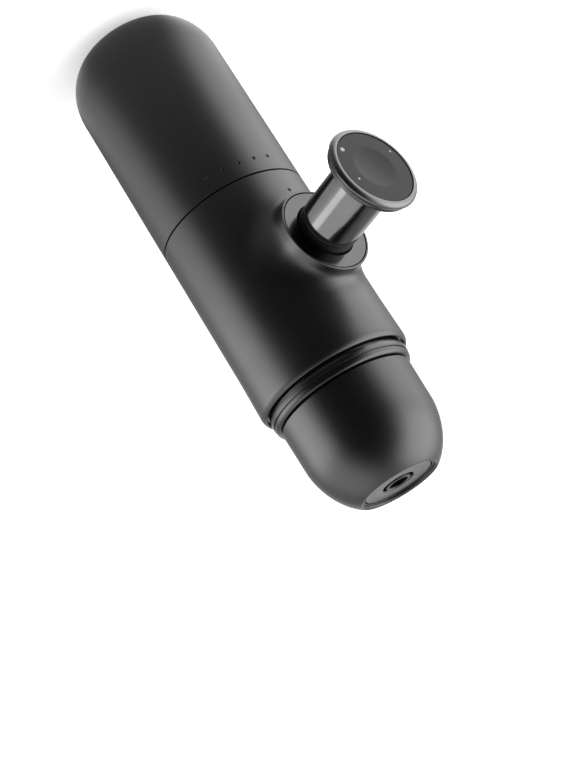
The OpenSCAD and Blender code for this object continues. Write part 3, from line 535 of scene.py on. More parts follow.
class Finish:
    """A material with a Principled shader, and short ways to wire effects into it."""

    def __init__(self, name, base, metallic=0.0, roughness=0.4, specular=0.5):
        self.material = bpy.data.materials.new(name)
        self.material.use_nodes = True
        self.tree = self.material.node_tree
        self.shader = self.tree.nodes["Principled BSDF"]
        self.shader.inputs["Base Color"].default_value = (*base, 1)
        self.shader.inputs["Metallic"].default_value = metallic
        self.shader.inputs["Roughness"].default_value = roughness
        self.shader.inputs["Specular IOR Level"].default_value = specular
        self.material.diffuse_color = (*base, 1)
        self.place = self.tree.nodes.new("ShaderNodeTexCoord").outputs["Object"]

    def link(self, a, b):
        """Joins an output to an input."""
        self.tree.links.new(a, b)

    def along_piston(self):
        """Centres and turns the pattern's Z onto the piston's axis."""
        turn = self.tree.nodes.new("ShaderNodeMapping")
        turn.vector_type = "TEXTURE"
        turn.inputs["Location"].default_value = (0, 0, PISTON_Z)
        turn.inputs["Rotation"].default_value = (math.radians(90), 0, 0)
        self.link(self.place, turn.inputs["Vector"])
        self.place = turn.outputs["Vector"]

    def effect(self, name, **values):
        """Places a shared effect in this material, with its own values."""
        node = self.tree.nodes.new("ShaderNodeGroup")
        node.node_tree = shared(name)
        self.link(self.place, node.inputs["Vector"])
        for label, value in values.items():
            node.inputs[label].default_value = value
        return node

    def bump(self, height, distance):
        """Raises the surface by a height, at most by a distance."""
        node = self.tree.nodes.new("ShaderNodeBump")
        node.inputs["Strength"].default_value = 1.0
        node.inputs["Distance"].default_value = distance
        self.link(height, node.inputs["Height"])
        self.link(node.outputs["Normal"], self.shader.inputs["Normal"])

    def mixed(self, mask, first, second):
        """Base colour between two tones, by a mask."""
        node = self.tree.nodes.new("ShaderNodeMix")
        node.data_type = "RGBA"
        node.inputs["A"].default_value = (*first, 1)
        node.inputs["B"].default_value = (*second, 1)
        self.link(mask, node.inputs["Factor"])
        self.link(node.outputs["Result"], self.shader.inputs["Base Color"])

    def worn(self, smooth, rough):
        """Roughness that wanders between two values."""
        touch = self.effect("touch", Smooth=smooth, Rough=rough)
        self.link(touch.outputs["Roughness"], self.shader.inputs["Roughness"])

    def turned(self, pitch, drift, depth, smooth, rough):
        """Fine turned lines in relief and in the roughness."""
        lines = self.effect("turned", Pitch=pitch, Drift=drift)
        touch = self.effect("touch", Smooth=smooth, Rough=rough)
        total = reckon(self.tree, "ADD", touch.outputs["Roughness"],
                       lines.outputs["Roughness shift"])
        self.link(total, self.shader.inputs["Roughness"])
        self.bump(lines.outputs["Height"], depth)


def toned(base, share):
    """A colour times a share."""
    return tuple(min(1.0, c * share) for c in base)


def satin_plastic(name, base, light, smooth, rough, grain, depth, specular=0.5):
    """Moulded plastic or rubber: two tones, a fine grain and a worn roughness."""
    finish = Finish(name, base, specular=specular)
    moulded = finish.effect("grain", Scale=grain)
    finish.mixed(moulded.outputs["Mask"], base, light)
    finish.bump(moulded.outputs["Height"], depth * MM)
    finish.worn(smooth, rough)
    return finish


METAL_GRAIN = 1200.0
METAL_TONES = (0.96, 1.04)


def metal(name, base, smooth, rough, pitch, drift, depth, piston=False):
    """Turned metal; its lines run about the piston's axis or about the body's."""
    finish = Finish(name, base, metallic=1.0)
    if piston:
        finish.along_piston()
    grain = finish.effect("grain", Scale=METAL_GRAIN)
    finish.mixed(grain.outputs["Mask"], *(toned(base, share) for share in METAL_TONES))
    finish.turned(pitch, drift, depth * MM, smooth, rough)
    return finish


# each dot's distance from the axis in mm, angle in degrees, and radius in mm
KNOB_DOTS = ((13.1, -42.8, 0.95), (11.5, 20.0, 0.5), (13.2, -153.9, 0.5))
DOT_FADE = 0.15                     # width of a dot's soft edge, in mm
DOT_COLOUR = (0.42, 0.42, 0.41)


def knob_face_finish(base):
    """Dark satin face with three pale printed dots and fine turned lines."""
    finish = Finish("Knob face", base, specular=0.2)
    finish.along_piston()
    finish.turned(pitch=5200.0, drift=0.02, depth=0.0015 * MM, smooth=0.34, rough=0.4)
    total = 0.0
    for reach, angle, size in KNOB_DOTS:
        turn = math.radians(angle)
        middle = (reach * MM * math.cos(turn), reach * MM * math.sin(turn), FACE_OUT)
        away = vector_step(finish.tree, "DISTANCE", finish.place, middle)
        mask = ranged(finish.tree, away, size * MM, (size - DOT_FADE) * MM)
        total = reckon(finish.tree, "MAXIMUM", total, mask)
    finish.mixed(total, base, DOT_COLOUR)
    return finish


MATERIALS = {}


def make_finishes(look):
    """Every finish of the maker, by name; the depth of each relief is in mm."""
    rough = look.shell_roughness
    finishes = {
        "shell": satin_plastic("Satin shell", look.shell, look.shell_light, rough - 0.03,
                               rough + 0.03, grain=2600.0, depth=0.008, specular=1.0),
        "gloss": satin_plastic("Glossy collar", look.black, toned(look.black, 1.2),
                               0.2, 0.27, grain=1800.0, depth=0.002, specular=0.9),
        "black": satin_plastic("Black plastic", look.black, toned(look.black, 1.25),
                               0.3, 0.38, grain=2200.0, depth=0.006),
        "inner": satin_plastic("Glass-filled plastic", look.inner, toned(look.inner, 0.85),
                               0.5, 0.6, grain=1500.0, depth=0.03),
        "rubber": satin_plastic("Seal rubber", look.rubber, toned(look.rubber, 1.3),
                                0.55, 0.65, grain=1600.0, depth=0.01),
        "silicone": satin_plastic("Milky silicone", look.silicone, toned(look.silicone, 1.06),
                                  0.4, 0.5, grain=900.0, depth=0.006),
        "chrome": metal("Dark chrome", look.chrome, 0.1, 0.13, pitch=2500.0, drift=0.01,
                        depth=0.0002, piston=True),
        "bezel": metal("Satin bezel", look.dark_metal, 0.15, 0.2, pitch=5000.0, drift=0.015,
                       depth=0.0002, piston=True),
        "plate": metal("Satin plate", look.plate, 0.24, 0.3, pitch=5000.0, drift=0.02,
                       depth=0.0003),
        "ring": metal("Satin ring", look.ring_metal, 0.28, 0.34, pitch=5000.0, drift=0.02,
                      depth=0.0003, piston=True),
        "steel": metal("Brushed steel", look.steel, 0.26, 0.36, pitch=4000.0, drift=0.05,
                       depth=0.003),
        "face": knob_face_finish(look.face),
    }
    milky = finishes["silicone"].shader         # light goes a little way into it
    milky.inputs["Subsurface Weight"].default_value = 0.3
    milky.inputs["Subsurface Scale"].default_value = 0.4 * MM
    MATERIALS.update({name: finish.material for name, finish in finishes.items()})


# ---------- body ----------

TANK_DOTS = [-93 + 12.6 * k for k in range(5)]
HOUSING_DOT = (-93, 1.5)            # its angle, and its height above the seam in dot drops


def make_tank(s):
    """Water tank with its rounded end, neck, bayonet lugs and index dimples."""
    inner_r = TANK_R - s.wall
    neck_in = s.neck_r - s.neck_wall
    top = SEAM_Z - s.tank_drop
    lug_z = SEAM_Z - s.seam_half + s.tank_lug_rise
    inner_h = s.base_round_h - s.floor
    inner_edge = 0.8 * MM
    outline = [(0, 0)]
    outline += arc(TANK_R - s.base_round_r, s.base_round_h, s.base_round_r, -s.base_round_h,
                   90, 0, 28)
    outline += [
        (TANK_R, top, s.seam_edge), (s.neck_r, top, SOFT),
        (s.neck_r, lug_z), (s.neck_r, lug_z + s.lug_h),
        (s.neck_r, TANK_NECK_Z, SOFT), (neck_in, TANK_NECK_Z, SOFT),
        (neck_in, top - s.wall, inner_edge),
        (inner_r, top - s.wall - (inner_r - neck_in), inner_edge),
    ]
    outline += arc(TANK_R - s.base_round_r, s.base_round_h, s.base_round_r - s.wall, -inner_h,
                   0, 90, 20)
    outline += [(0, s.floor)]
    bm = spun(outline, closed=False)
    raise_lugs(bm, s.neck_r, s.lug_r, lug_z, lug_z + s.lug_h, *BAYONET)
    dot_z = SEAM_Z - s.seam_half - s.dot_drop
    bm = press_dimples(bm, [(angle, dot_z) for angle in TANK_DOTS], s.dot_r)
    piece("water_tank_shell", bm, MATERIALS["shell"], "tank", ["water_tank"])


WINDOW = 25.2 * MM                  # half the size of the opening round the boss
WINDOW_CELLS = 64
WINDOW_TURN = 60                    # half its angle, in degrees
BOSS_HEADING = 270
BLEND_STEPS = 16
BLEND_LEAN = 0.35                   # how much further the blend climbs where the wall falls away
BLEND_CLEAR = 1.2 * MM              # the least height of the boss above its blend
GUARD = 0.35 * MM                   # width of the ring on the wall round the blend
WALL_CUTS = 11                      # between that ring and the edge of the opening


def skin(radius, x):
    """Distance of a round wall from the centre plane, at a distance from the boss's axis."""
    return math.sqrt(radius * radius - x * x)


def blend_at(b, share, angle):
    """Radius and distance out of a point on the curve between the boss and the housing."""
    edge_r = b.outer_r + b.blend_over
    edge = skin(TANK_R, edge_r * math.cos(angle))
    knee = edge + b.blend_over * edge_r * math.cos(angle) ** 2 / edge
    top = knee + min(b.blend_up + BLEND_LEAN * (TANK_R - knee), BOSS_OUT - knee - BLEND_CLEAR)
    start, middle, end = (1 - share) ** 2, 2 * share * (1 - share), share ** 2
    return ((start + middle) * b.outer_r + end * edge_r, start * top + middle * knee + end * edge)


def boss_patch(b, inner_r):
    """The boss with its recess, its blend, and its bore down to the wall's inner radius."""
    recess_r = b.outer_r - b.rim
    marker = BOSS_OUT - 2.5 * b.recess          # where the blend's rings wait for their place
    edge_r = b.outer_r + b.blend_over
    outline = [(b.bore_r, marker), (b.bore_r, BOSS_OUT - b.recess, 0.1 * MM),
               (recess_r, BOSS_OUT - b.recess, 0.1 * MM), (recess_r, BOSS_OUT, FINE),
               (b.outer_r, BOSS_OUT, b.rim_edge)]
    outline += [(b.outer_r + (edge_r - b.outer_r) * i / BLEND_STEPS, marker)
                for i in range(BLEND_STEPS + 1)]
    outline += [(edge_r + GUARD, marker)]
    bm = spun(outline, closed=False, turns=4 * WINDOW_CELLS)
    for v in bm.verts:
        if abs(v.co.z - marker) > 5 * SAME:
            continue
        reach = math.hypot(v.co.x, v.co.y)
        angle = math.atan2(v.co.y, v.co.x)
        if reach < recess_r:
            v.co.z = skin(inner_r, v.co.x)
        elif reach > edge_r + 5 * SAME:
            v.co.z = skin(TANK_R, v.co.x)
        else:
            share = max(0.0, min(1.0, (reach - b.outer_r) / (edge_r - b.outer_r)))
            new_r, new_out = blend_at(b, share, angle)
            v.co = (new_r * math.cos(angle), new_r * math.sin(angle), new_out)
    outward(bm)
    return bm


def open_window(bm, radius):
    """Takes the faces of a round wall away round the boss, and gives the edges left."""
    before = {e for e in bm.edges if e.is_boundary}
    faces = [f for f in bm.faces if on_wall(f, radius)
             and abs(f.calc_center_median().z - PISTON_Z) < WINDOW
             and abs(heading(f.calc_center_median()) - BOSS_HEADING) < WINDOW_TURN]
    bmesh.ops.delete(bm, geom=faces, context="FACES")
    return [e for e in bm.edges if e.is_boundary and e not in before]


def join_to_wall(bm, window, ring, radius):
    """Bridges an opening in a round wall to the boss's ring, and lays the new rows on the wall."""
    made = bmesh.ops.bridge_loops(bm, edges=window + ring)
    rails = {e for f in made["faces"] for e in f.edges} - set(window) - set(ring)
    cut = bmesh.ops.subdivide_edges(bm, edges=list(rails), cuts=WALL_CUTS,
                                    use_grid_fill=True)
    for v in {g for g in cut["geom_inner"] if isinstance(g, bmesh.types.BMVert)}:
        set_reach(v, radius)


def make_housing(s, b):
    """Main housing: round shell, blended boss, seam edge and rounded lip."""
    inner_r = TANK_R - s.wall
    rows = [PISTON_Z - WINDOW + 2 * WINDOW * k / WINDOW_CELLS for k in range(WINDOW_CELLS + 1)]
    lip_end_z = LIP_Z - s.lip_back
    lip_start = lip_end_z - s.lip_drop
    lip_end = math.degrees(math.asin(s.lip_drop / s.lip_round_h))
    flange_z = SEAM_Z + s.flange_h
    seat_z = LIP_Z - s.seat_h
    outline = [(s.flange_r, SEAM_Z, 0.15 * MM), (TANK_R, SEAM_Z, s.seam_edge)]
    outline += [(TANK_R, z) for z in rows]
    outline += arc(s.lip_r - s.lip_round_r, lip_start, s.lip_round_r, s.lip_round_h,
                   0, lip_end, 14)
    outline[-1] += (0.1 * MM,)
    outline += [(s.seat_r, lip_end_z, 0.06 * MM), (s.seat_r, seat_z), (inner_r, seat_z)]
    outline += [(inner_r, z) for z in reversed(rows)]
    outline += [(inner_r, flange_z), (s.flange_r, flange_z)]
    bm = spun(outline)
    outer_window = open_window(bm, TANK_R)
    inner_window = open_window(bm, inner_r)
    patch = mesh_of("patch", boss_patch(b, inner_r))
    old = set(bm.edges)
    bm.from_mesh(patch)
    bpy.data.meshes.remove(patch)
    rings = [e for e in bm.edges if e.is_boundary and e not in old]
    middle = (b.outer_r + b.bore_r) / 2
    outer_ring = [e for e in rings if math.hypot(
        e.verts[0].co.x, e.verts[0].co.z - PISTON_Z) > middle]
    join_to_wall(bm, outer_window, outer_ring, TANK_R)
    join_to_wall(bm, inner_window, [e for e in rings if e not in outer_ring], inner_r)
    bmesh.ops.recalc_face_normals(bm, faces=bm.faces)
    dot_z = SEAM_Z - s.seam_half + HOUSING_DOT[1] * s.dot_drop
    bm = press_dimples(bm, [(HOUSING_DOT[0], dot_z)], s.dot_r)
    piece("housing_shell", bm, MATERIALS["shell"], "main_body", ["main_housing"])


def on_edge(v, radius, height):
    """True for a point at that height, and on or outside that radius."""
    return abs(v.co.z - height) < 5 * SAME and math.hypot(v.co.x, v.co.y) > radius - 25 * SAME


def make_collar(s):
    """Brew chamber as packed: its collar's edges broken, its upper band rolled in at the end,
    and the gap below it deeper."""
    bm = bmesh.new()
    bm.from_mesh(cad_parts["brew_chamber"].data)
    bmesh.ops.remove_doubles(bm, verts=bm.verts, dist=SAME)
    bmesh.ops.join_triangles(bm, faces=bm.faces, angle_face_threshold=math.radians(0.5),
                             angle_shape_threshold=math.radians(180))
    start = COLLAR_END_Z - s.band_h
    groove = LIP_Z + s.collar_top
    rows = [start + share * s.band_h for share in (0.9, 0.95)]
    for height in [groove - s.collar_edge, start + s.collar_edge] + rows:
        bmesh.ops.bisect_plane(bm, geom=bm.verts[:] + bm.edges[:] + bm.faces[:],
                               dist=SAME / 2, plane_co=(0, 0, height), plane_no=(0, 0, 1))
    for v in bm.verts:
        radius = math.hypot(v.co.x, v.co.y)
        share = (v.co.z - start) / s.band_h
        if on_edge(v, s.collar_r, groove) or on_edge(v, s.band_r, start):
            set_reach(v, radius - s.collar_edge)
        elif 0.01 < share < 0.99 and radius > s.band_end_r:
            set_reach(v, s.band_end_r + (s.band_r - s.band_end_r) * math.sqrt(1 - share ** 3))
        elif on_edge(v, s.gap_r, LIP_Z - s.gap_rise):
            v.co.z -= s.gap_more
    piece("collar", bm, MATERIALS["gloss"], "main_body", ["brew_chamber"])


# ---------- outlet head ----------

def make_head(h):
    """Outlet head: neck with lugs, tapered side, dome and the crest round the outlet."""
    dome_in = h.rim_r - h.dome_reach
    dome_out = h.side_r - h.dome_step
    power = 1.13                    # of the dome's curve: 1 is an ellipse, more is leaner
    turn = math.acos(((h.rim_r - dome_in) / (dome_out - dome_in)) ** (1 / power))
    rise = (HEAD_TOP_Z - h.dome_z) / math.sin(turn) ** power
    steps = 40
    dome = [(dome_in + (dome_out - dome_in) * math.cos(turn * i / steps) ** power,
             h.dome_z + rise * math.sin(turn * i / steps) ** power) for i in range(steps + 1)]
    dome[-1] += (0.35 * MM,)
    seat_r = PLATE_R + 0.25 * MM
    rest_r = PLATE_R - 1.4 * MM
    ceiling = PLATE_LOW_Z - 2.2 * MM
    outline = [
        (h.bore_r, HEAD_NECK_Z, SOFT), (h.neck_r, HEAD_NECK_Z, SOFT),
        (h.neck_r, h.lug_z), (h.neck_r, h.lug_z + h.lug_h),
        (h.neck_r, h.gap_z, 0.2 * MM), (h.side_r, h.gap_z, SOFT),
    ]
    outline += dome
    outline += [
        (h.rim_r - h.rim_w, HEAD_TOP_Z - h.rim_slope, FINE),
        (h.rim_r - h.rim_w, HEAD_TOP_Z - h.rim_step),
        (seat_r, HEAD_TOP_Z - h.rim_step, 0.1 * MM),
        (seat_r, PLATE_LOW_Z), (rest_r, PLATE_LOW_Z), (rest_r, ceiling),
    ]
    outline += arc(rest_r, h.dome_z, h.ledge_r - rest_r, ceiling - h.dome_z, 85, 0, 18)
    outline += [(h.ledge_r, h.ledge_z), (h.bore_r, h.ledge_z)]
    bm = spun(outline)
    raise_lugs(bm, h.neck_r, h.lug_r, h.lug_z, h.lug_z + h.lug_h, *BAYONET)
    piece("outlet_dome", bm, MATERIALS["shell"], "head", ["outlet_head"])


def make_plate(h):
    """Face plate with softly rolled edges round the spout."""
    outline = [(h.plate_hole_r, PLATE_LOW_Z), (PLATE_R, PLATE_LOW_Z),
               (PLATE_R, PLATE_TOP_Z, SOFT), (h.plate_hole_r, PLATE_TOP_Z, 0.5 * MM)]
    piece("outlet_plate", spun(outline), MATERIALS["plate"], "head",
          ["face_plate"])


def make_spout(h):
    """Funnel with the spout that stands in the plate's hole."""
    neck_z = PLATE_LOW_Z - 4 * MM
    outline = [
        (h.ledge_r - 2 * MM, FUNNEL_LOW_Z), (FUNNEL_R, FUNNEL_LOW_Z),
        (FUNNEL_R, h.ledge_z), (h.ledge_r - 0.4 * MM, h.ledge_z),
        (h.spout_r, neck_z, 1 * MM), (h.spout_r, SPOUT_TOP_Z, 0.45 * MM),
        (h.spout_hole_r, SPOUT_TOP_Z, SOFT), (h.spout_hole_r, neck_z - 0.5 * MM, 1 * MM),
    ]
    piece("spout", spun(outline), MATERIALS["black"], "head", ["spout_funnel"])


# ---------- piston ----------

def out_piece(name, outline, material, body, nodes, closed=True):
    """A spun piece about the piston's axis; its outline's heights point out of the boss."""
    bm = spun(outline, closed=closed)
    outward(bm)
    piece(name, bm, material, body, nodes)


def make_bezel(p):
    """Metal disc in the boss's recess, round the piston."""
    outline = [(p.bush_r, BEZEL_BACK), (BEZEL_R, BEZEL_BACK),
               (BEZEL_R, BEZEL_OUT, FINE), (p.bush_r, BEZEL_OUT, 0.2 * MM)]
    out_piece("bezel", outline, MATERIALS["bezel"], "main_body", ["guide_bezel"])


def make_sleeve(p):
    """Polished tube of the piston."""
    outline = [(SLEEVE_R - p.sleeve_wall, FOOT_OUT), (SLEEVE_R, FOOT_OUT, FINE),
               (SLEEVE_R, KNOB_BACK), (SLEEVE_R - p.sleeve_wall, KNOB_BACK)]
    out_piece("chrome_sleeve", outline, MATERIALS["chrome"], "piston",
              ["piston_sleeve"])


LINE_DROPS = (3.4 * MM, 1.5 * MM)   # how far behind the sleeve the foot's two lines lie


def make_skirt(p):
    """Black foot of the piston, with two faint lines and its lugs."""
    lug_top = SKIRT_END + p.skirt_lug_h
    stub_r = SLEEVE_R - p.sleeve_wall - SLIP
    line, depth = 0.12 * MM, 0.08 * MM
    outline = [(p.skirt_in_r, SKIRT_END), (p.skirt_r, SKIRT_END), (p.skirt_r, lug_top)]
    for drop in LINE_DROPS:
        at = FOOT_OUT - drop
        outline += [(p.skirt_r, at - line), (p.skirt_r - depth, at), (p.skirt_r, at + line)]
    outline += [(p.skirt_r, FOOT_OUT, FINE), (stub_r, FOOT_OUT),
                (stub_r, SKIRT_TOP), (p.skirt_in_r, SKIRT_TOP)]
    bm = spun(outline)
    raise_lugs(bm, p.skirt_r, SKIRT_LUG_R, SKIRT_END, lug_top, *PISTON_LUGS)
    outward(bm)
    piece("piston_foot", bm, MATERIALS["black"], "piston", ["piston_skirt"])


def make_knob_base(p):
    """Back of the knob: hub, lower band, and the seats of rod, screw and face."""
    band_top = KNOB_BACK + p.band_top
    hub_r, rod_r = SLEEVE_R - p.sleeve_wall - SLIP, ROD_R + SLIP
    rod_end, head_seat = KNOB_BACK - 0.4 * MM, KNOB_SEAT - 1.8 * MM
    outline = [
        (rod_r, HUB_END), (hub_r, HUB_END), (hub_r, KNOB_BACK), (BAND_R, KNOB_BACK, 0.6 * MM),
        (BAND_R, band_top, 0.2 * MM), (FACE_R, band_top), (FACE_R, KNOB_SEAT),
        (p.screw_head_r, KNOB_SEAT), (p.screw_head_r, head_seat), (p.screw_r, head_seat),
        (p.screw_r, rod_end), (rod_r, rod_end),
    ]
    out_piece("knob_back", outline, MATERIALS["shell"], "piston",
              ["knob_base"])


def make_knob_ring(p):
    """Bright rounded ring round the knob's face."""
    widest = RING_BACK + 1.1 * MM
    centre_r = p.ring_in_r + 0.25 * MM
    outline = [(p.ring_in_r, RING_BACK), (RING_R - 0.1 * MM, RING_BACK, SOFT)]
    outline += arc(centre_r, widest, RING_R + p.ring_more - centre_r, RING_OUT - widest,
                   0, 90, 20)
    outline += [(p.ring_in_r, RING_OUT, FINE)]
    out_piece("knob_rim", outline, MATERIALS["ring"], "piston", ["knob_ring"])


def make_knob_face(p):
    """Face disc with the shallow thumb dish, a little rolled at the dish's edge."""
    steps = 14
    edge_r = 1.04 * p.dish_r            # its roll ends a little outside its radius
    roll = 1.15                         # 1 is a plain bowl, more rolls the edge
    outline = [(0, KNOB_SEAT), (FACE_R, KNOB_SEAT), (FACE_R, FACE_OUT, FINE)]
    for share in (i / steps for i in range(steps, -1, -1)):
        outline.append((edge_r * share, FACE_OUT - p.dish_depth * (1 - share * share) ** roll))
    out_piece("knob_disc", outline, MATERIALS["face"], "piston", ["knob_face"],
              closed=False)


def make_spring(p):
    """Return spring: one wire, wound by a spin that climbs a little at each step."""
    per_turn, sides = 36, 12
    steps = per_turn * p.spring_turns
    coil_r = SPRING_R - p.wire_r
    climb = (SPRING_END - SPRING_START - 2 * p.wire_r) / steps
    bm = bmesh.new()
    made = bmesh.ops.create_circle(bm, cap_ends=True, segments=sides, radius=p.wire_r,
                                   matrix=Matrix.Translation((coil_r, 0, SPRING_START + p.wire_r))
                                   @ Matrix.Rotation(math.radians(90), 4, "X"))
    face = made["verts"][0].link_faces[0]
    bmesh.ops.spin(bm, geom=[face], cent=(0, 0, 0), axis=(0, 0, 1), dvec=(0, 0, climb),
                   angle=math.tau * p.spring_turns, steps=steps)
    bmesh.ops.recalc_face_normals(bm, faces=bm.faces)
    outward(bm)
    spring = piece("spring_wire", bm, MATERIALS["steel"], "main_body", ["return_spring"])
    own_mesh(spring)


# ---------- CAD nodes that keep their shape ----------

KEPT = {
    "black": ["piston_guide"],
    "inner": ["pump_block", "piston_head"],
    "rubber": ["tank_gasket", "cylinder_gasket", "transfer_seal", "head_gasket", "funnel_seal",
               "wiper_ring", "piston_seals"],
    "silicone": ["inlet_valve", "outlet_valve", "air_valve", "brew_gasket"],
    "steel": ["pump_cylinder", "inlet_filter", "chassis_screws", "shower_screen", "shower_screw",
              "filter_basket", "basket_screen", "piston_rod", "thrust_washer", "knob_screw"],
}


def dress_nodes():
    """Gives each kept node its finish."""
    for finish, names in KEPT.items():
        for name in names:
            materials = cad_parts[name].data.materials
            materials.clear()
            materials.append(MATERIALS[finish])


# ---------- stage ----------

CAMERA_PLACE = Vector((405.37, -385.44, 343.99)) * MM
CAMERA_FORWARD = Vector((-0.66807, 0.67047, -0.32272))
CAMERA_UP = Vector((-0.17662, -0.56420, -0.80652))
CAMERA_LENS = 75.97
FLOOR_DROP = 0.0002                 # of the floor below the part's rest face
FLOOR_HALF = 4
FLOOR_TONE = (0.8, 0.8, 0.8)
PANELS_NEAR = {"Left": 1.0, "Right": 2.3}       # light of the side panels off the near floor,
PANELS_FAR = {"Left": 2.4, "Right": 1.6}        # off the far floor and at the horizon,
PANELS_HIGH = {"Left": 0.8, "Right": 2.6}       # and above it
FLOOR_PANELS = (0.28, 0.48)         # distances between which near turns to far
HORIZON = (0.0, 0.15)               # heights between which far turns to high
FLOOR_DIM = (0.04, 0.35, 0.55, 1.0)             # distances, and the floor's reflected level there
FLOOR_GLOW = (0.05, 0.3, 0.33, 0.0)             # the same for its glow in front of the part
FLOOR_LIFT = 0.55                   # light that is added to the floor that the camera sees
LAMP_WIDTH = 0.9
LAMP_HEIGHT = 1.1


def make_camera():
    """The photographed view, solved from the object's edges."""
    data = bpy.data.cameras.new("Camera")
    data.lens = CAMERA_LENS
    data.sensor_width = 36
    data.clip_start, data.clip_end = 0.01, 50
    camera = placed("Camera", data)
    back = -CAMERA_FORWARD.normalized()
    right = CAMERA_UP.cross(back).normalized()
    up = back.cross(right)
    turn = Matrix((right, up, back)).transposed()
    camera.matrix_world = Matrix.Translation(CAMERA_PLACE) @ turn.to_4x4()
    bpy.context.scene.camera = camera


def seen_by(tree):
    """Light Path, with one value that is 1 for reflected and refracted rays."""
    path = tree.nodes.new("ShaderNodeLightPath")
    through = reckon(tree, "MAXIMUM", path.outputs["Is Glossy Ray"],
                     path.outputs["Is Transmission Ray"])
    return path.outputs["Is Camera Ray"], through


def studio_seen(tree, direction, value, fade, start, end):
    """The studio by direction, with side panels that change from one level to the other."""
    studio = tree.nodes.new("ShaderNodeGroup")
    studio.node_tree = shared("surround")
    tree.links.new(direction, studio.inputs["Vector"])
    for side in ("Left", "Right"):
        panel = ranged(tree, value, *fade, start[side], end[side], smooth=True)
        tree.links.new(panel, studio.inputs[side])
    return studio.outputs["Level"], studio.outputs["Front share"]


def mixed_shader(tree, share, first, second):
    """One shader where a share is 0, another where it is 1."""
    node = tree.nodes.new("ShaderNodeMixShader")
    for socket, term in zip(node.inputs, (share, first, second)):
        tree.links.new(term, socket)
    return node.outputs["Shader"]


def make_floor():
    """Plain pale floor: white to the camera, with the shadow, and not there from below."""
    bm = bmesh.new()
    bmesh.ops.create_grid(bm, x_segments=1, y_segments=1, size=FLOOR_HALF,
                          matrix=Matrix.Translation((0, 0, -FLOOR_DROP)))
    floor = placed("Floor", mesh_of("Floor", bm))
    material = bpy.data.materials.new("Pale floor")
    material.use_nodes = True
    tree = material.node_tree
    tree.nodes.clear()
    camera, reflected = seen_by(tree)
    lit = tree.nodes.new("ShaderNodeBsdfDiffuse")
    lit.inputs["Color"].default_value = (*FLOOR_TONE, 1)
    lift = tree.nodes.new("ShaderNodeEmission")
    tree.links.new(reckon(tree, "MULTIPLY", camera, FLOOR_LIFT), lift.inputs["Strength"])
    both = tree.nodes.new("ShaderNodeAddShader")
    tree.links.new(lit.outputs["BSDF"], both.inputs[0])
    tree.links.new(lift.outputs["Emission"], both.inputs[1])
    place = tree.nodes.new("ShaderNodeTexCoord").outputs["Object"]
    distance = vector_step(tree, "LENGTH", place)
    level, front = studio_seen(tree, vector_step(tree, "NORMALIZE", place), distance,
                               FLOOR_PANELS, PANELS_NEAR, PANELS_FAR)
    level = reckon(tree, "MULTIPLY", level, ranged(tree, distance, *FLOOR_DIM))
    glow = reckon(tree, "MULTIPLY", front, ranged(tree, distance, *FLOOR_GLOW))
    mirror = tree.nodes.new("ShaderNodeEmission")
    tree.links.new(reckon(tree, "ADD", level, glow), mirror.inputs["Strength"])
    above = mixed_shader(tree, reflected, both.outputs["Shader"], mirror.outputs["Emission"])
    below = tree.nodes.new("ShaderNodeBsdfTransparent").outputs["BSDF"]
    backfacing = tree.nodes.new("ShaderNodeNewGeometry").outputs["Backfacing"]
    out = tree.nodes.new("ShaderNodeOutputMaterial")
    tree.links.new(mixed_shader(tree, backfacing, above, below), out.inputs["Surface"])
    material.cycles.emission_sampling = "NONE"
    floor.data.materials.append(material)


def make_world():
    """White to the camera; to everything else, the studio by direction."""
    world = bpy.data.worlds.new("Studio")
    world.use_nodes = True
    tree = world.node_tree
    back = tree.nodes["Background"]
    back.inputs["Color"].default_value = (1, 1, 1, 1)
    camera, _ = seen_by(tree)
    direction = tree.nodes.new("ShaderNodeTexCoord").outputs["Generated"]
    parts = tree.nodes.new("ShaderNodeSeparateXYZ")
    tree.links.new(direction, parts.inputs["Vector"])
    level, _ = studio_seen(tree, direction, parts.outputs["Z"], HORIZON, PANELS_FAR, PANELS_HIGH)
    tree.links.new(ranged(tree, camera, 0.0, 1.0, level, 1.0), back.inputs["Strength"])
    bpy.context.scene.world = world


def make_lamp():
    """One soft lamp overhead, with a radiance of 1."""
    data = bpy.data.lights.new("Overhead", "AREA")
    data.shape = "DISK"
    data.size = LAMP_WIDTH
    data.energy = math.pi * math.pi * (LAMP_WIDTH / 2) ** 2
    lamp = placed("Overhead", data)
    lamp.location = (0, 0, LAMP_HEIGHT)
    lamp.visible_camera = False
    lamp.visible_glossy = False


# ---------- operators ----------

class EspressoOperator:
    """What every operator here shares"""
    bl_options = {"REGISTER", "UNDO"}


class ESPRESSO_OT_finishes(EspressoOperator, bpy.types.Operator):
    """Makes every finish of the maker"""
    bl_idname = "espresso.finishes"
    bl_label = "Finishes"

    def execute(self, context):
        make_finishes(context.scene.espresso_finishes)
        return {"FINISHED"}


class ESPRESSO_OT_tank(EspressoOperator, bpy.types.Operator):
    """Makes the water tank"""
    bl_idname = "espresso.tank"
    bl_label = "Water tank"

    def execute(self, context):
        make_tank(context.scene.espresso_body)
        return {"FINISHED"}


class ESPRESSO_OT_housing(EspressoOperator, bpy.types.Operator):
    """Makes the main housing with its boss, and the collar in its end"""
    bl_idname = "espresso.housing"
    bl_label = "Main housing"

    def execute(self, context):
        make_housing(context.scene.espresso_body, context.scene.espresso_boss)
        make_collar(context.scene.espresso_body)
        return {"FINISHED"}


class ESPRESSO_OT_head(EspressoOperator, bpy.types.Operator):
    """Makes the outlet head, its face plate and its spout"""
    bl_idname = "espresso.head"
    bl_label = "Outlet head"

    def execute(self, context):
        sizes = context.scene.espresso_head
        make_head(sizes)
        make_plate(sizes)
        make_spout(sizes)
        return {"FINISHED"}


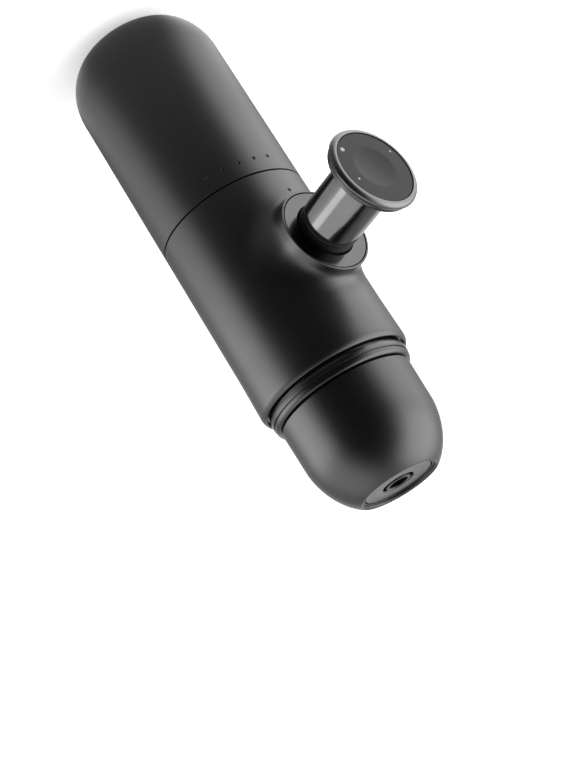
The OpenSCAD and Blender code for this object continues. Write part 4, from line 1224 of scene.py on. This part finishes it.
class ESPRESSO_OT_piston(EspressoOperator, bpy.types.Operator):
    """Makes the bezel, the piston's sleeve and foot, and the return spring"""
    bl_idname = "espresso.piston"
    bl_label = "Piston"

    def execute(self, context):
        sizes = context.scene.espresso_piston
        make_bezel(sizes)
        make_sleeve(sizes)
        make_skirt(sizes)
        make_spring(sizes)
        return {"FINISHED"}


class ESPRESSO_OT_knob(EspressoOperator, bpy.types.Operator):
    """Makes the knob: back, ring and dished face"""
    bl_idname = "espresso.knob"
    bl_label = "Knob"

    def execute(self, context):
        sizes = context.scene.espresso_piston
        make_knob_base(sizes)
        make_knob_ring(sizes)
        make_knob_face(sizes)
        return {"FINISHED"}


class ESPRESSO_OT_nodes(EspressoOperator, bpy.types.Operator):
    """Gives the CAD nodes that keep their shape their finishes"""
    bl_idname = "espresso.nodes"
    bl_label = "Inner parts"

    def execute(self, context):
        dress_nodes()
        return {"FINISHED"}


class ESPRESSO_OT_stage(EspressoOperator, bpy.types.Operator):
    """Makes the camera, the floor, the world and the lamp"""
    bl_idname = "espresso.stage"
    bl_label = "Stage"

    def execute(self, context):
        make_camera()
        make_floor()
        make_world()
        make_lamp()
        return {"FINISHED"}


STEPS = (ESPRESSO_OT_finishes, ESPRESSO_OT_tank, ESPRESSO_OT_housing, ESPRESSO_OT_head,
         ESPRESSO_OT_piston, ESPRESSO_OT_knob, ESPRESSO_OT_nodes, ESPRESSO_OT_stage)


class ESPRESSO_PT_panel(bpy.types.Panel):
    """Lists the steps in the sidebar"""
    bl_label = "Espresso Maker"
    bl_idname = "ESPRESSO_PT_panel"
    bl_space_type = "VIEW_3D"
    bl_region_type = "UI"
    bl_category = "Espresso Maker"

    def draw(self, context):
        for step in STEPS:
            self.layout.operator(step.bl_idname)


SETTINGS = {"espresso_body": BodySizes, "espresso_boss": BossSizes, "espresso_head": HeadSizes,
            "espresso_piston": PistonSizes, "espresso_finishes": Finishes}
CLASSES = tuple(SETTINGS.values()) + STEPS + (ESPRESSO_PT_panel,)


def register():
    """Adds the classes and the scene's settings."""
    for cls in CLASSES:
        bpy.utils.register_class(cls)
    for name, cls in SETTINGS.items():
        setattr(bpy.types.Scene, name, bpy.props.PointerProperty(type=cls))


def unregister():
    """Takes them away again."""
    for name in SETTINGS:
        delattr(bpy.types.Scene, name)
    for cls in reversed(CLASSES):
        bpy.utils.unregister_class(cls)


def main():
    """Registers the add-on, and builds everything."""
    register()
    bpy.context.scene.view_settings.view_transform = "Standard"
    bpy.ops.espresso.finishes()
    bpy.ops.espresso.tank()
    bpy.ops.espresso.housing()
    bpy.ops.espresso.head()
    bpy.ops.espresso.piston()
    bpy.ops.espresso.knob()
    bpy.ops.espresso.nodes()
    bpy.ops.espresso.stage()


if __name__ == "__main__":
    main()
